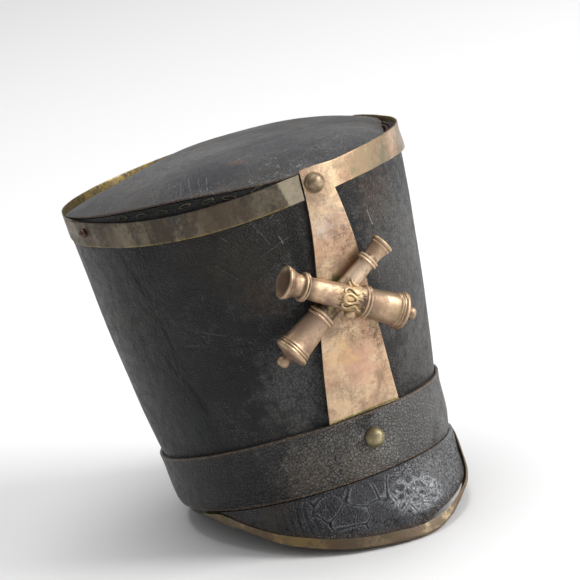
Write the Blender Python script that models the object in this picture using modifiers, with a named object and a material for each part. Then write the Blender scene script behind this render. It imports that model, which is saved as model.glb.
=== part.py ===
"""An old leather shako hat with brass fittings, resting by itself on its peak and the back of its rim.

Metres, +Z up. The hat is first made upright in its own frame: z = 0 lies just below the
base strap, the front looks along -Y and the wearer's left is +X. One empty then tips it
back until the peak's brass binding and the rim's back carry it, as it stands on a shelf.
Angles round the crown are counted from the front, positive towards the wearer's left.
"""
import math
from collections import namedtuple

import bmesh
import bpy
from mathutils import Matrix, Vector

# Crown: a leather bell, oval at the head and wider at the top
CROWN_HEIGHT = 0.2092
RIM_HEIGHT = -0.0038
RIM_TRIM = 0.010
BASE_HALF_LENGTH = 0.0990
BASE_HALF_WIDTH = 0.0846
TOP_HALF_LENGTH = 0.1293
TOP_HALF_WIDTH = 0.1097
TOP_FORWARD = 0.0018
TOP_LEFT = 0.0013
SIDE_BULGE = 0.0033
WALL_THICKNESS = 0.0025
DOME_RISE = 0.0125
DISC_THICKNESS = 0.0022
DISC_INSET = 0.0004
DOME_POWER = 2.3
WALL_ROWS = 5
DISC_RINGS = 5

# Brass band round the top, in three strips
BAND_HEIGHT = 0.0167
BAND_PROUD = 0.0014
BRASS_THICKNESS = 0.0008
RIGHT_STRIP_START = -101.0
RIGHT_STRIP_END = -6.6
BACK_STRIP_START = 93.0
BACK_STRIP_END = 267.0
LEFT_STRIP_END = 101.0
LAP_START = 84.0
LAP_END = 97.0
LAP_PROUD_LOW = 0.0016
LAP_PROUD_HIGH = 0.0028
LEFT_LAP_PROUD = 0.0020
COLUMN_DEGREES = 4.2

# Base strap of leather round the head
STRAP_THICKNESS = 0.0020
STRAP_BOTTOM = 0.0026
STRAP_SAG_BEHIND = 0.0030
STRAP_TOP = 0.0415
STRAP_PROUD_TOP = 0.0024
STRAP_PROUD_TUCK = 0.0060
STRAP_LEAN = 0.0018
STRAP_ROWS = 5
STRAP_SAG_REACH = (118.0, 170.0)
STRAP_PUSH_REACH = (110.0, 160.0)
STRAP_LEAN_REACH = (55.0, 90.0)
STRAP_STEP_REACH = (0.22, 0.95)

# Peak, sewn in between the crown and the strap
PEAK_THICKNESS = 0.0026
PEAK_WIDTH = 0.0403
PEAK_HALF_ANGLE = 72.2
PEAK_SLOPE_FRONT = 58.8
PEAK_SLOPE_TIP = 95.9
PEAK_SLOPE_LIMIT = 1.6
PEAK_EDGE_POWER = 1.37
PEAK_SKEW = 0.0021
TUCK_HEIGHT = 0.0130
TUCK_REACH = (0.90, 0.74)
TUCK_DROP = 0.00096
PEAK_DROP = 0.0012
PEAK_MIN_WIDTH = 0.0018
PEAK_LOOSE_FLARE = 0.0020
PEAK_LOOSE_REACH = (0.70, 0.92)
PEAK_SLOPE_ROWS = 4
PEAK_COLUMNS = 36

# Natural rest, from the hull of the solids and their centre of mass: tipped back, and a
# little to the wearer's right
REST_PITCH = 9.25
REST_ROLL = 1.0

# Clearance between touching pieces, and how close two points are welded
GAP = 0.0003
WELD = 0.00002
SHARP_ANGLE = 40.0
RING_SEGMENTS = 72
UP = Vector((0.0, 0.0, 1.0))

Wave = namedtuple("Wave", "order cosine sine")
Swell = namedtuple("Swell", "start peak end height")
PlateRow = namedtuple("PlateRow", "height left_edge right_edge")
BarrelRow = namedtuple("BarrelRow", "station radius")

# The band's upper edge is out of true: it dips at the front towards the wearer's right
BAND_WAVES = (
    Wave(order=1, cosine=-0.0043, sine=0.0027),
    Wave(order=2, cosine=0.0012, sine=0.0007),
    Wave(order=3, cosine=0.0010, sine=0.0013),
)
# Where the leather stands above the band, and where the band stands above the leather
LEATHER_SWELLS = (
    Swell(start=-96, peak=-45, end=-6, height=0.0070),
    Swell(start=-172, peak=-112, end=-88, height=-0.0046),
)
STRAP_TOP_WAVES = (
    Wave(order=1, cosine=0.0023, sine=0.0029),
    Wave(order=2, cosine=0.0003, sine=-0.0014),
)
STRAP_BOTTOM_WAVES = (Wave(order=2, cosine=0.0010, sine=0.0007),)

# Edges of the brass plate, from its foot to the band
PLATE_ROWS = (
    PlateRow(height=0.0360, left_edge=-0.0290, right_edge=0.0235),
    PlateRow(height=0.0445, left_edge=-0.0283, right_edge=0.0232),
    PlateRow(height=0.0810, left_edge=-0.0251, right_edge=0.0206),
    PlateRow(height=0.1405, left_edge=-0.0157, right_edge=0.0175),
    PlateRow(height=0.1650, left_edge=-0.0117, right_edge=0.0158),
    PlateRow(height=0.1925, left_edge=-0.0102, right_edge=0.0112),
)

# Half outline of a cannon barrel, from the bottom of its bore round to the knob behind it
BARREL_ROWS = (
    BarrelRow(station=0.0080, radius=0.0),
    BarrelRow(station=0.0080, radius=0.0050),
    BarrelRow(station=0.0006, radius=0.0060),
    BarrelRow(station=0.0, radius=0.0100),
    BarrelRow(station=0.0014, radius=0.0110),
    BarrelRow(station=0.0030, radius=0.0106),
    BarrelRow(station=0.0040, radius=0.0096),
    BarrelRow(station=0.0100, radius=0.0077),
    BarrelRow(station=0.0128, radius=0.0078),
    BarrelRow(station=0.0138, radius=0.0094),
    BarrelRow(station=0.0158, radius=0.0094),
    BarrelRow(station=0.0168, radius=0.0072),
    BarrelRow(station=0.0360, radius=0.0080),
    BarrelRow(station=0.0370, radius=0.0086),
    BarrelRow(station=0.0388, radius=0.0086),
    BarrelRow(station=0.0398, radius=0.0083),
    BarrelRow(station=0.0590, radius=0.0094),
    BarrelRow(station=0.0602, radius=0.0106),
    BarrelRow(station=0.0628, radius=0.0106),
    BarrelRow(station=0.0640, radius=0.0097),
    BarrelRow(station=0.0820, radius=0.0108),
    BarrelRow(station=0.0826, radius=0.0116),
    BarrelRow(station=0.0840, radius=0.0116),
    BarrelRow(station=0.0846, radius=0.0122),
    BarrelRow(station=0.0874, radius=0.0122),
    BarrelRow(station=0.0884, radius=0.0112),
    BarrelRow(station=0.0912, radius=0.0088),
    BarrelRow(station=0.0930, radius=0.0044),
    BarrelRow(station=0.0938, radius=0.0029),
    BarrelRow(station=0.0956, radius=0.0029),
    BarrelRow(station=0.0966, radius=0.0044),
    BarrelRow(station=0.0998, radius=0.0044),
    BarrelRow(station=0.1012, radius=0.0),
)

Barrel = namedtuple("Barrel", "tilt depth dip stretch")

# Badge of two crossed cannons, cast in one piece and standing on the plate
BADGE_CROSSING = Vector((-0.0035, 0.0, 0.1240))
CROSSING_STATION = 0.0455
FRONT_BARREL = Barrel(tilt=-30.5, depth=0.0102, dip=0.0, stretch=1.0)
REAR_BARREL = Barrel(tilt=210.5, depth=0.0058, dip=3.0, stretch=1.03)
BARREL_FLATTEN = 0.82
BARREL_SIDES = 16
BADGE_BACK_LEFT = -0.0300
BADGE_BACK_RIGHT = 0.0220
TRUNNION_RADIUS = 0.0032
TRUNNION_LENGTH = 0.0145
TRUNNION_STATION = 0.0520
TRUNNION_SIDES = 12
HANDLE_RADIUS = 0.0011
HANDLE_START = 0.0445
HANDLE_LENGTH = 0.0125
HANDLE_SPREAD = 0.0032
HANDLE_SWAY = 0.0010
HANDLE_RISE = 0.0006
HANDLE_TOP = 0.0064
HANDLE_POINTS = 9

# Plate, stiff and nearly flat across, so that it stands off the round crown at its edges
PLATE_STANDOFF = 0.0007
PLATE_CENTRE = 0.0040
PLATE_CURVE_RADIUS = 0.400
PLATE_COLUMNS = 6
PLATE_LEVELS = 9
PLATE_FOOT_CLEARANCE = 0.0008

# Peak binding, a folded brass channel that has come loose on the wearer's left
FLANGE_WIDTH = 0.0066
FLANGE_SIDE_WIDTH = 0.0052
FLANGE_TIP_WIDTH = 0.0095
LOWER_FLANGE = 0.0050
BINDING_BRASS = 0.0007
BINDING_FOLD = 0.0009
BINDING_START = -1.16
BINDING_END = 1.10
BINDING_TIP_SLOPE = 0.0470
BINDING_TIP_WIDTH = 0.0012
BINDING_COLUMNS = 44
LEATHER_INSERT = 0.0048
INSERT_CLEARANCE = 0.0018
BINDING_SLACK = 0.0012
BINDING_LOOSE = 0.0028
FOLD_SHARE = 0.4

# Where along the peak each of the binding's changes comes in, in parts of its half angle
FLANGE_SIDE_REACH = (0.60, 0.85)
FLANGE_TIP_REACH = (0.90, 0.99)
INSERT_CENTRE_REACH = (-0.15, 0.15)
INSERT_TIP_REACH = (1.0, 0.80)
SLACK_START_REACH = (-0.50, -0.30)
SLACK_END_REACH = (0.50, 0.75)
LOOSE_START_REACH = (-0.10, 0.22)
LOOSE_END_REACH = (0.34, 0.62)
SHELF_REACH = (1.08, 1.02)

ShankRow = namedtuple("ShankRow", "radius height")

# Half outlines of the rivets, from the crown of the dome out and down to the flat back
PLATE_RIVET_ROWS = (
    ShankRow(radius=0.0, height=0.0052),
    ShankRow(radius=0.0018, height=0.0049),
    ShankRow(radius=0.0034, height=0.0040),
    ShankRow(radius=0.0045, height=0.0024),
    ShankRow(radius=0.0049, height=0.0017),
    ShankRow(radius=0.0063, height=0.0014),
    ShankRow(radius=0.0067, height=0.0007),
    ShankRow(radius=0.0067, height=0.0),
    ShankRow(radius=0.0, height=0.0),
)
BUTTON_ROWS = (
    ShankRow(radius=0.0, height=0.0056),
    ShankRow(radius=0.0024, height=0.0053),
    ShankRow(radius=0.0045, height=0.0043),
    ShankRow(radius=0.0060, height=0.0026),
    ShankRow(radius=0.0067, height=0.0008),
    ShankRow(radius=0.0067, height=0.0),
    ShankRow(radius=0.0, height=0.0),
)
SIDE_RIVET_ROWS = (
    ShankRow(radius=0.0, height=0.0016),
    ShankRow(radius=0.0012, height=0.0014),
    ShankRow(radius=0.0022, height=0.0008),
    ShankRow(radius=0.0025, height=0.0),
    ShankRow(radius=0.0, height=0.0),
)

RIVET_SIDES = 20
SMALL_RIVET_SIDES = 12
PLATE_RIVET_LEFT = -0.0035
SIDE_RIVET_ANGLE = 89.5
SIDE_RIVET_DOWN = 0.0070
BUTTON_LEFT = -0.0010
BUTTON_HEIGHT = 0.0272

LEATHER = {"color": (0.035, 0.035, 0.037, 1.0), "roughness": 0.55, "metallic": 0.0}
WORN_LEATHER = {"color": (0.052, 0.045, 0.040, 1.0), "roughness": 0.60, "metallic": 0.0}
BRASS = {"color": (0.58, 0.44, 0.27, 1.0), "roughness": 0.42, "metallic": 1.0}
DULL_BRASS = {"color": (0.42, 0.34, 0.22, 1.0), "roughness": 0.50, "metallic": 1.0}


def clear_scene():
    """Remove whatever objects the open file holds."""
    for thing in list(bpy.data.objects):
        bpy.data.objects.remove(thing, do_unlink=True)


def fade(value, start, end):
    """Smooth step from 0 at start to 1 at end; start may be the larger."""
    part = min(max((value - start) / (end - start), 0.0), 1.0)
    return part * part * (3.0 - 2.0 * part)


def off_front(angle):
    """Degrees from the front, on either side."""
    return abs(math.degrees(math.atan2(math.sin(angle), math.cos(angle))))


def wave(angle, rows):
    """Sum of a rim's waves at an angle in radians."""
    return sum(r.cosine * math.cos(r.order * angle) + r.sine * math.sin(r.order * angle)
               for r in rows)


def swells(angle, rows):
    """Sum of the local swells at an angle in radians."""
    degrees = math.degrees(math.atan2(math.sin(angle), math.cos(angle)))
    total = 0.0
    for row in rows:
        if degrees < row.peak:
            total += row.height * fade(degrees, row.start, row.peak)
        else:
            total += row.height * (1.0 - fade(degrees, row.peak, row.end))
    return total


def crown_point(angle, height, proud=0.0):
    """Point on the crown's outside, or that far proud of it."""
    part = height / CROWN_HEIGHT
    bulge = SIDE_BULGE * 4.0 * part * (1.0 - part)
    half_length = BASE_HALF_LENGTH + (TOP_HALF_LENGTH - BASE_HALF_LENGTH) * part + bulge + proud
    half_width = BASE_HALF_WIDTH + (TOP_HALF_WIDTH - BASE_HALF_WIDTH) * part + bulge + proud
    x = TOP_LEFT * part + half_width * math.sin(angle)
    y = -(TOP_FORWARD * part + half_length * math.cos(angle))
    return Vector((x, y, height))


def outward_normal(surface, angle, height):
    """Outward normal of a surface that gives a point for an angle and a height."""
    step = 0.001
    along = surface(angle + step, height) - surface(angle - step, height)
    up = surface(angle, height + step) - surface(angle, height - step)
    return along.cross(up).normalized()


def band_top(angle):
    """Height of the brass band's upper edge."""
    return CROWN_HEIGHT + wave(angle, BAND_WAVES)


def leather_top(angle):
    """Height of the crown top's upper edge."""
    return band_top(angle) + swells(angle, LEATHER_SWELLS) - DISC_INSET


def strap_bottom(angle):
    """Height of the base strap's lower edge, which sags a little behind."""
    sag = STRAP_SAG_BEHIND * fade(off_front(angle), *STRAP_SAG_REACH)
    return STRAP_BOTTOM + wave(angle, STRAP_BOTTOM_WAVES) - sag


def strap_top(angle):
    """Height of the base strap's upper edge."""
    return STRAP_TOP + wave(angle, STRAP_TOP_WAVES)


def strap_proud(angle, part):
    """How far the strap's outside stands off the crown, at a part of its width from below.

    The peak's tuck pushes its lower third out at the front and the sides, more on the
    wearer's left.
    """
    degrees = off_front(angle)
    pushed = 1.0 - fade(degrees, *STRAP_PUSH_REACH)
    lean = STRAP_LEAN * fade(degrees, *STRAP_LEAN_REACH) * math.copysign(1.0, math.sin(angle))
    low = STRAP_PROUD_TOP + (STRAP_PROUD_TUCK - STRAP_PROUD_TOP + lean) * pushed
    return low + (STRAP_PROUD_TOP - low) * fade(part, *STRAP_STEP_REACH)


def strap_point(angle, height):
    """Point on the strap's outside."""
    low = strap_bottom(angle)
    return crown_point(angle, height, strap_proud(angle, (height - low) / (strap_top(angle) - low)))


def material_of(name, look):
    """Principled material of one sub-part."""
    material = bpy.data.materials.new(name)
    material.use_nodes = True
    shader = material.node_tree.nodes["Principled BSDF"]
    shader.inputs["Base Color"].default_value = look["color"]
    shader.inputs["Roughness"].default_value = look["roughness"]
    shader.inputs["Metallic"].default_value = look["metallic"]
    return material


def add_object(name, shape, look, collection):
    """Make an object of a bmesh, with its own material, smooth but for its sharp edges."""
    mesh = bpy.data.meshes.new(name)
    shape.to_mesh(mesh)
    shape.free()
    mesh.shade_smooth()
    mesh.set_sharp_from_angle(angle=math.radians(SHARP_ANGLE))
    mesh.materials.append(material_of(name, look))
    thing = bpy.data.objects.new(name, mesh)
    collection.objects.link(thing)
    return thing


def thicken(thing, thickness):
    """Give an open surface its wall, inwards from the outside that it draws."""
    solidify = thing.modifiers.new("wall", "SOLIDIFY")
    solidify.thickness = thickness
    solidify.offset = -1.0
    solidify.use_even_offset = True


def tube_surface(rows, place, segments=RING_SEGMENTS):
    """Open tube whose points go where place(angle, part of height) says."""
    shape = bmesh.new()
    bmesh.ops.create_cone(shape, cap_ends=False, segments=segments, radius1=1, radius2=1, depth=1)
    upright = [e for e in shape.edges if abs(e.verts[0].co.z - e.verts[1].co.z) > 0.5]
    bmesh.ops.subdivide_edges(shape, edges=upright, cuts=rows - 1, use_grid_fill=True)
    for vert in shape.verts:
        angle = math.atan2(vert.co.x, -vert.co.y)
        vert.co = place(angle, vert.co.z + 0.5)
    return shape


def strip_surface(columns, rows, place):
    """Open strip whose points go where place(part along, part up) says."""
    shape = bmesh.new()
    bmesh.ops.create_grid(shape, x_segments=columns, y_segments=rows, size=0.5)
    for vert in shape.verts:
        vert.co = place(vert.co.x + 0.5, vert.co.y + 0.5)
    return shape


def disc_surface(rings, place, segments=RING_SEGMENTS):
    """Open disc whose points go where place(angle, part of radius) says."""
    shape = bmesh.new()
    bmesh.ops.create_uvsphere(shape, u_segments=segments, v_segments=2 * rings, radius=1)
    below = [v for v in shape.verts if v.co.z < -1e-4]
    bmesh.ops.delete(shape, geom=below, context="VERTS")
    for vert in shape.verts:
        polar = math.acos(min(max(vert.co.z, -1.0), 1.0))
        angle = math.atan2(vert.co.x, -vert.co.y)
        vert.co = place(angle, polar / (math.pi / 2))
    return shape


def build_crown_wall(parts, cutters):
    """Leather side of the crown, trimmed flat along the rim that rests on the head."""

    def place(angle, part):
        low = RIM_HEIGHT - 0.5 * RIM_TRIM
        top = leather_top(angle) - DISC_THICKNESS - GAP
        return crown_point(angle, low + (top - low) * part)

    wall = add_object("crown_wall", tube_surface(WALL_ROWS, place), LEATHER, parts)
    thicken(wall, WALL_THICKNESS)
    size = (4.0 * TOP_HALF_WIDTH, 4.0 * TOP_HALF_LENGTH, RIM_TRIM)
    where = Matrix.Translation((0.0, 0.0, RIM_HEIGHT - 0.5 * RIM_TRIM))
    cut_from(wall, box_guide("rim_trim", size, where, cutters))


def build_crown_top(parts):
    """Domed leather disc that closes the crown."""
    centre = Vector((TOP_LEFT, -TOP_FORWARD, CROWN_HEIGHT))

    def place(angle, part):
        edge = crown_point(angle, leather_top(angle))
        point = centre.lerp(edge, part)
        point.z = CROWN_HEIGHT + (edge.z - CROWN_HEIGHT) * part ** 3
        point.z += DOME_RISE * (1.0 - part ** DOME_POWER)
        return point

    disc = add_object("crown_top", disc_surface(DISC_RINGS, place), LEATHER, parts)
    thicken(disc, DISC_THICKNESS)


def band_point(angle, part, flare):
    """Point on the outside of the brass band, at a part of its height from below."""
    height = band_top(angle) - BAND_HEIGHT * (1.0 - part)
    return crown_point(angle, height, BAND_PROUD + flare)


def build_band_strip(name, start, end, parts, flare_of=None):
    """One strip of the brass band, between two angles in degrees; a flare lifts its end."""

    def place(along, up):
        degrees = start + (end - start) * along
        flare = flare_of(degrees, up) if flare_of else 0.0
        return band_point(math.radians(degrees), up, flare)

    shape = strip_surface(round((end - start) / COLUMN_DEGREES), 2, place)
    thicken(add_object(name, shape, DULL_BRASS, parts), BRASS_THICKNESS)


def right_strip_flare(degrees, up):
    """The right-hand strip's end stands off over the back strip, most at its upper corner."""
    proud = LAP_PROUD_LOW + (LAP_PROUD_HIGH - LAP_PROUD_LOW) * up
    return proud * fade(degrees, -LAP_START, -LAP_END)


def plate_edges(height):
    """Left and right edge of the plate at a height, read between the rows of its table."""
    for low, high in zip(PLATE_ROWS, PLATE_ROWS[1:]):
        if height <= high.height:
            break
    part = min(max((height - low.height) / (high.height - low.height), 0.0), 1.0)
    left = low.left_edge + (high.left_edge - low.left_edge) * part
    right = low.right_edge + (high.right_edge - low.right_edge) * part
    return left, right


def plate_front(x, height):
    """Y of the plate's outside at a place across it: flat across and tangent to the crown."""
    angle = math.asin(PLATE_CENTRE / TOP_HALF_WIDTH)
    touch = crown_point(angle, height, PLATE_STANDOFF + BRASS_THICKNESS)
    return touch.y + (x - PLATE_CENTRE) ** 2 / (2.0 * PLATE_CURVE_RADIUS)


def build_plate(parts):
    """Front plate and the band's strip on the wearer's left, soldered into one piece."""
    left_edge, right_edge = plate_edges(PLATE_ROWS[-1].height)
    start = math.asin((left_edge - TOP_LEFT) / TOP_HALF_WIDTH)
    corner = math.asin((right_edge - TOP_LEFT) / TOP_HALF_WIDTH)
    end = math.radians(LEFT_STRIP_END)
    band_columns = round(math.degrees(end - corner) / COLUMN_DEGREES)

    def place(along, up):
        column = along * (PLATE_COLUMNS + band_columns)
        if column <= PLATE_COLUMNS:
            angle = start + (corner - start) * column / PLATE_COLUMNS
        else:
            angle = corner + (end - corner) * (column - PLATE_COLUMNS) / band_columns
        return band_point(angle, up, LEFT_LAP_PROUD * fade(math.degrees(angle), LAP_START, LAP_END))

    shape = strip_surface(PLATE_COLUMNS + band_columns, 2, place)
    roots = [plate_root(column, start, corner) for column in range(PLATE_COLUMNS + 1)]
    row = [min(shape.verts, key=lambda vert: (vert.co - root).length) for root in roots]
    edges = [e for e in shape.edges if all(v in row for v in e.verts)]
    for level in range(1, PLATE_LEVELS + 1):
        made = bmesh.ops.extrude_edge_only(shape, edges=edges)["geom"]
        row = sorted((v for v in made if isinstance(v, bmesh.types.BMVert)), key=lambda v: v.co.x)
        edges = [e for e in made if isinstance(e, bmesh.types.BMEdge)
                 and all(v in row for v in e.verts)]
        for column, vert in enumerate(row):
            vert.co = plate_point(column / PLATE_COLUMNS, level / PLATE_LEVELS, roots[column].z)
    bmesh.ops.recalc_face_normals(shape, faces=shape.faces)
    front = [f for f in shape.faces if f.calc_center_median().z < 0.5 * CROWN_HEIGHT]
    if sum(f.normal.y for f in front) > 0.0:
        bmesh.ops.reverse_faces(shape, faces=shape.faces)
    thicken(add_object("plate_and_band", shape, BRASS, parts), BRASS_THICKNESS)


def plate_root(column, start, corner):
    """Where a column of the plate leaves the band's lower edge."""
    return band_point(start + (corner - start) * column / PLATE_COLUMNS, 0.0, 0.0)


def plate_point(across, down, root_height):
    """Point on the plate's outside, by parts of its width and of its height from the band."""
    left, right = plate_edges(strap_top(0.0))
    angle = math.asin((left + (right - left) * across) / BASE_HALF_WIDTH)
    foot = strap_top(angle) + PLATE_FOOT_CLEARANCE
    height = root_height + (foot - root_height) * down
    left, right = plate_edges(height)
    x = left + (right - left) * across
    return Vector((x, plate_front(x, height), height))


def build_strap(parts):
    """Leather strap round the base of the crown."""

    def place(angle, part):
        low = strap_bottom(angle)
        return strap_point(angle, low + (strap_top(angle) - low) * part)

    shape = tube_surface(STRAP_ROWS, place)
    thicken(add_object("base_strap", shape, WORN_LEATHER, parts), STRAP_THICKNESS)


def peak_width(u):
    """Width of the peak's leather that shows, from the strap to its edge; u is -1 to 1."""
    return PEAK_WIDTH * max(1.0 - abs(u) ** PEAK_EDGE_POWER, 0.0)


def peak_slope(u):
    """Slope of the peak below the horizontal, in radians."""
    share = min(u * u, PEAK_SLOPE_LIMIT)
    return math.radians(PEAK_SLOPE_FRONT + (PEAK_SLOPE_TIP - PEAK_SLOPE_FRONT) * share)


def peak_frame(u, down):
    """Point and outward normal on the peak's upper side."""
    angle = math.radians(PEAK_HALF_ANGLE * u)
    flare = PEAK_LOOSE_FLARE * fade(u, *PEAK_LOOSE_REACH)
    root = crown_point(angle, strap_bottom(angle), strap_proud(angle, 0.0) + flare)
    root.z -= PEAK_DROP
    outward = Vector((math.sin(angle) / BASE_HALF_WIDTH, -math.cos(angle) / BASE_HALF_LENGTH, 0.0))
    outward.normalize()
    slope = peak_slope(u)
    along = outward * math.cos(slope) + Vector((0.0, 0.0, -math.sin(slope)))
    normal = outward * math.sin(slope) + Vector((0.0, 0.0, math.cos(slope)))
    skew = Vector((PEAK_SKEW * down / PEAK_WIDTH, 0.0, 0.0))
    return root + along * down + skew, normal


def flange_width(u):
    """Width of the binding's upper flange."""
    flange = FLANGE_WIDTH + (FLANGE_SIDE_WIDTH - FLANGE_WIDTH) * fade(abs(u), *FLANGE_SIDE_REACH)
    return flange + (FLANGE_TIP_WIDTH - FLANGE_SIDE_WIDTH) * fade(abs(u), *FLANGE_TIP_REACH)


def leather_insert(u):
    """How much of the peak's leather is still inside its binding."""
    room = min(LEATHER_INSERT, flange_width(u) - INSERT_CLEARANCE)
    return room * (1.0 - fade(u, *INSERT_CENTRE_REACH)) * fade(abs(u), *INSERT_TIP_REACH)


def build_peak(parts):
    """Leather peak: a tuck behind the strap, then a steep crescent."""
    rows = PEAK_SLOPE_ROWS + 2
    inside = 2.0 * GAP + PEAK_THICKNESS

    def place(along, up):
        u = 2.0 * along - 1.0
        row = round((1.0 - up) * rows)
        angle = math.radians(PEAK_HALF_ANGLE * u)
        edge = strap_bottom(angle) - TUCK_DROP
        if row == 0:
            return crown_point(angle, edge + TUCK_HEIGHT * fade(abs(u), *TUCK_REACH) + GAP, inside)
        if row == 1:
            return crown_point(angle, edge, inside)
        width = max(peak_width(u) + leather_insert(u), PEAK_MIN_WIDTH)
        return peak_frame(u, width * (row - 2) / PEAK_SLOPE_ROWS)[0]

    shape = strip_surface(PEAK_COLUMNS, rows, place)
    thicken(add_object("peak", shape, LEATHER, parts), PEAK_THICKNESS)


def binding_gap(u):
    """How far the binding has slipped down from the peak's visible edge."""
    slack = fade(u, *SLACK_START_REACH) * (1.0 - fade(u, *SLACK_END_REACH))
    loose = fade(u, *LOOSE_START_REACH) * (1.0 - fade(u, *LOOSE_END_REACH))
    return BINDING_SLACK * slack + BINDING_LOOSE * loose


def binding_section(u):
    """Channel outline at one place: (down the slope, off the surface), lower lip first.

    At its ends the channel tapers up to the strap like a tongue.
    """
    start = peak_width(u) + binding_gap(u) + GAP
    tip_end = BINDING_START if u < 0.0 else BINDING_END
    tongue = BINDING_TIP_WIDTH + BINDING_TIP_SLOPE * abs(tip_end - u)
    end = min(start + flange_width(u), tongue)
    start = min(start, end - BINDING_TIP_WIDTH)
    top = GAP + BINDING_BRASS
    bottom = -(PEAK_THICKNESS + GAP + BINDING_BRASS)
    fold = min(BINDING_FOLD, FOLD_SHARE * (end - start))
    under_shelf = (PEAK_THICKNESS + 2.0 * GAP) * fade(abs(u), *SHELF_REACH)
    lower = min(max(end - LOWER_FLANGE, start, under_shelf), end - 2.0 * fold)
    return (
        (lower, bottom), (end - fold, bottom), (end, bottom + fold),
        (end, top - fold), (end - fold, top), (0.5 * (start + end - fold), top), (start, top),
    )


def build_binding(parts):
    """Brass channel folded over the peak's edge."""
    last = len(binding_section(0.0)) - 1

    def place(along, up):
        u = BINDING_START + (BINDING_END - BINDING_START) * along
        down, off = binding_section(u)[round(up * last)]
        point, normal = peak_frame(u, down)
        return point + normal * off

    shape = strip_surface(BINDING_COLUMNS, last, place)
    thicken(add_object("peak_binding", shape, BRASS, parts), BINDING_BRASS)


def turned(name, rows, steps, look, parts):
    """Turned piece about its own Z: its outline runs down the outside."""
    shape = bmesh.new()
    verts = [shape.verts.new((row.radius, 0.0, row.height)) for row in rows]
    for upper, lower in zip(verts, verts[1:]):
        shape.edges.new((upper, lower))
    thing = add_object(name, shape, look, parts)
    screw = thing.modifiers.new("turn", "SCREW")
    screw.steps = steps
    screw.render_steps = steps
    screw.use_merge_vertices = True
    screw.merge_threshold = WELD
    screw.use_smooth_shade = True
    return thing


def frame_matrix(origin, outward, up_hint):
    """Placement whose Z points outward and whose Y is as near as it can be to up_hint."""
    z_axis = outward.normalized()
    x_axis = up_hint.cross(z_axis).normalized()
    y_axis = z_axis.cross(x_axis)
    return Matrix.Translation(origin) @ Matrix((x_axis, y_axis, z_axis)).transposed().to_4x4()


def build_rivet(name, rows, sides, surface, spot, clearance, parts):
    """One domed rivet, its flat back that far off the surface at (angle, height)."""
    outward = outward_normal(surface, *spot)
    rivet = turned(name, rows, sides, DULL_BRASS, parts)
    rivet.matrix_world = frame_matrix(surface(*spot) + outward * clearance, outward, UP)


def build_rivets(parts):
    """Domed rivets of the band, the plate and the strap, each just clear of what it holds."""
    angle = math.asin(PLATE_RIVET_LEFT / TOP_HALF_WIDTH)
    spot = (angle, band_top(angle) - 0.5 * BAND_HEIGHT)
    clearance = BAND_PROUD + GAP
    build_rivet("plate_rivet", PLATE_RIVET_ROWS, RIVET_SIDES, crown_point, spot, clearance, parts)

    laps = (("side_rivet_right", -1.0, LAP_PROUD_LOW), ("side_rivet_left", 1.0, LEFT_LAP_PROUD))
    for name, side, lap in laps:
        angle = math.radians(side * SIDE_RIVET_ANGLE)
        spot = (angle, band_top(angle) - SIDE_RIVET_DOWN)
        clearance = BAND_PROUD + lap
        build_rivet(name, SIDE_RIVET_ROWS, SMALL_RIVET_SIDES, crown_point, spot, clearance, parts)

    spot = (math.asin(BUTTON_LEFT / BASE_HALF_WIDTH), BUTTON_HEIGHT)
    build_rivet("strap_button", BUTTON_ROWS, RIVET_SIDES, strap_point, spot, GAP, parts)


def badge_frame():
    """Placement of the badge: X across, Y up the plate, Z out of it, at the crossing."""
    step = 0.010
    centre = BADGE_CROSSING
    low = Vector((centre.x, plate_front(centre.x, centre.z - step), centre.z - step))
    high = Vector((centre.x, plate_front(centre.x, centre.z + step), centre.z + step))
    seat = Vector((centre.x, plate_front(centre.x, centre.z), centre.z))
    up = (high - low).normalized()
    outward = Vector((1.0, 0.0, 0.0)).cross(up)
    return frame_matrix(seat + outward * GAP, outward, up)


def as_guide(thing, name, collection):
    """Keep an object as a cutter: in the cutters' collection, out of the renders."""
    thing.name = name
    for owner in list(thing.users_collection):
        owner.objects.unlink(thing)
    collection.objects.link(thing)
    thing.hide_render = True
    thing.display_type = "WIRE"
    return thing


def box_guide(name, size, where, collection):
    """Box of a size, at a placement, kept as a cutter."""
    bpy.ops.mesh.primitive_cube_add(size=1.0)
    box = bpy.context.object
    box.data.transform(Matrix.Diagonal((*size, 1.0)))
    box.matrix_world = where
    return as_guide(box, name, collection)


def cut_from(thing, cutter):
    """Cut one closed object out of another."""
    cut = thing.modifiers.new("without_" + cutter.name, "BOOLEAN")
    cut.operation = "DIFFERENCE"
    cut.object = cutter


def as_mesh_object(thing, name):
    """Replace an object by a mesh of what it evaluates to, closed and welded."""
    graph = bpy.context.evaluated_depsgraph_get()
    mesh = bpy.data.meshes.new_from_object(thing.evaluated_get(graph))
    shape = bmesh.new()
    shape.from_mesh(mesh)
    bmesh.ops.remove_doubles(shape, verts=shape.verts, dist=WELD)
    shape.to_mesh(mesh)
    shape.free()
    made = bpy.data.objects.new(name, mesh)
    made.matrix_world = thing.matrix_world
    for owner in thing.users_collection:
        owner.objects.link(made)
    bpy.data.objects.remove(thing, do_unlink=True)
    return made


def build_barrel(name, barrel, frame, collection):
    """One cannon barrel of the badge, its muzzle up and its knob down."""
    rows = [ShankRow(radius=r.radius, height=-r.station * barrel.stretch) for r in BARREL_ROWS]
    solid = turned(name, rows, BARREL_SIDES, BRASS, collection)
    along, across, out = barrel_axes(barrel)
    muzzle = -along * CROSSING_STATION + Vector((0.0, 0.0, barrel.depth))
    local = Matrix((out * BARREL_FLATTEN, across, -along)).transposed().to_4x4()
    solid.matrix_world = frame @ Matrix.Translation(muzzle) @ local
    return solid


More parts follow.
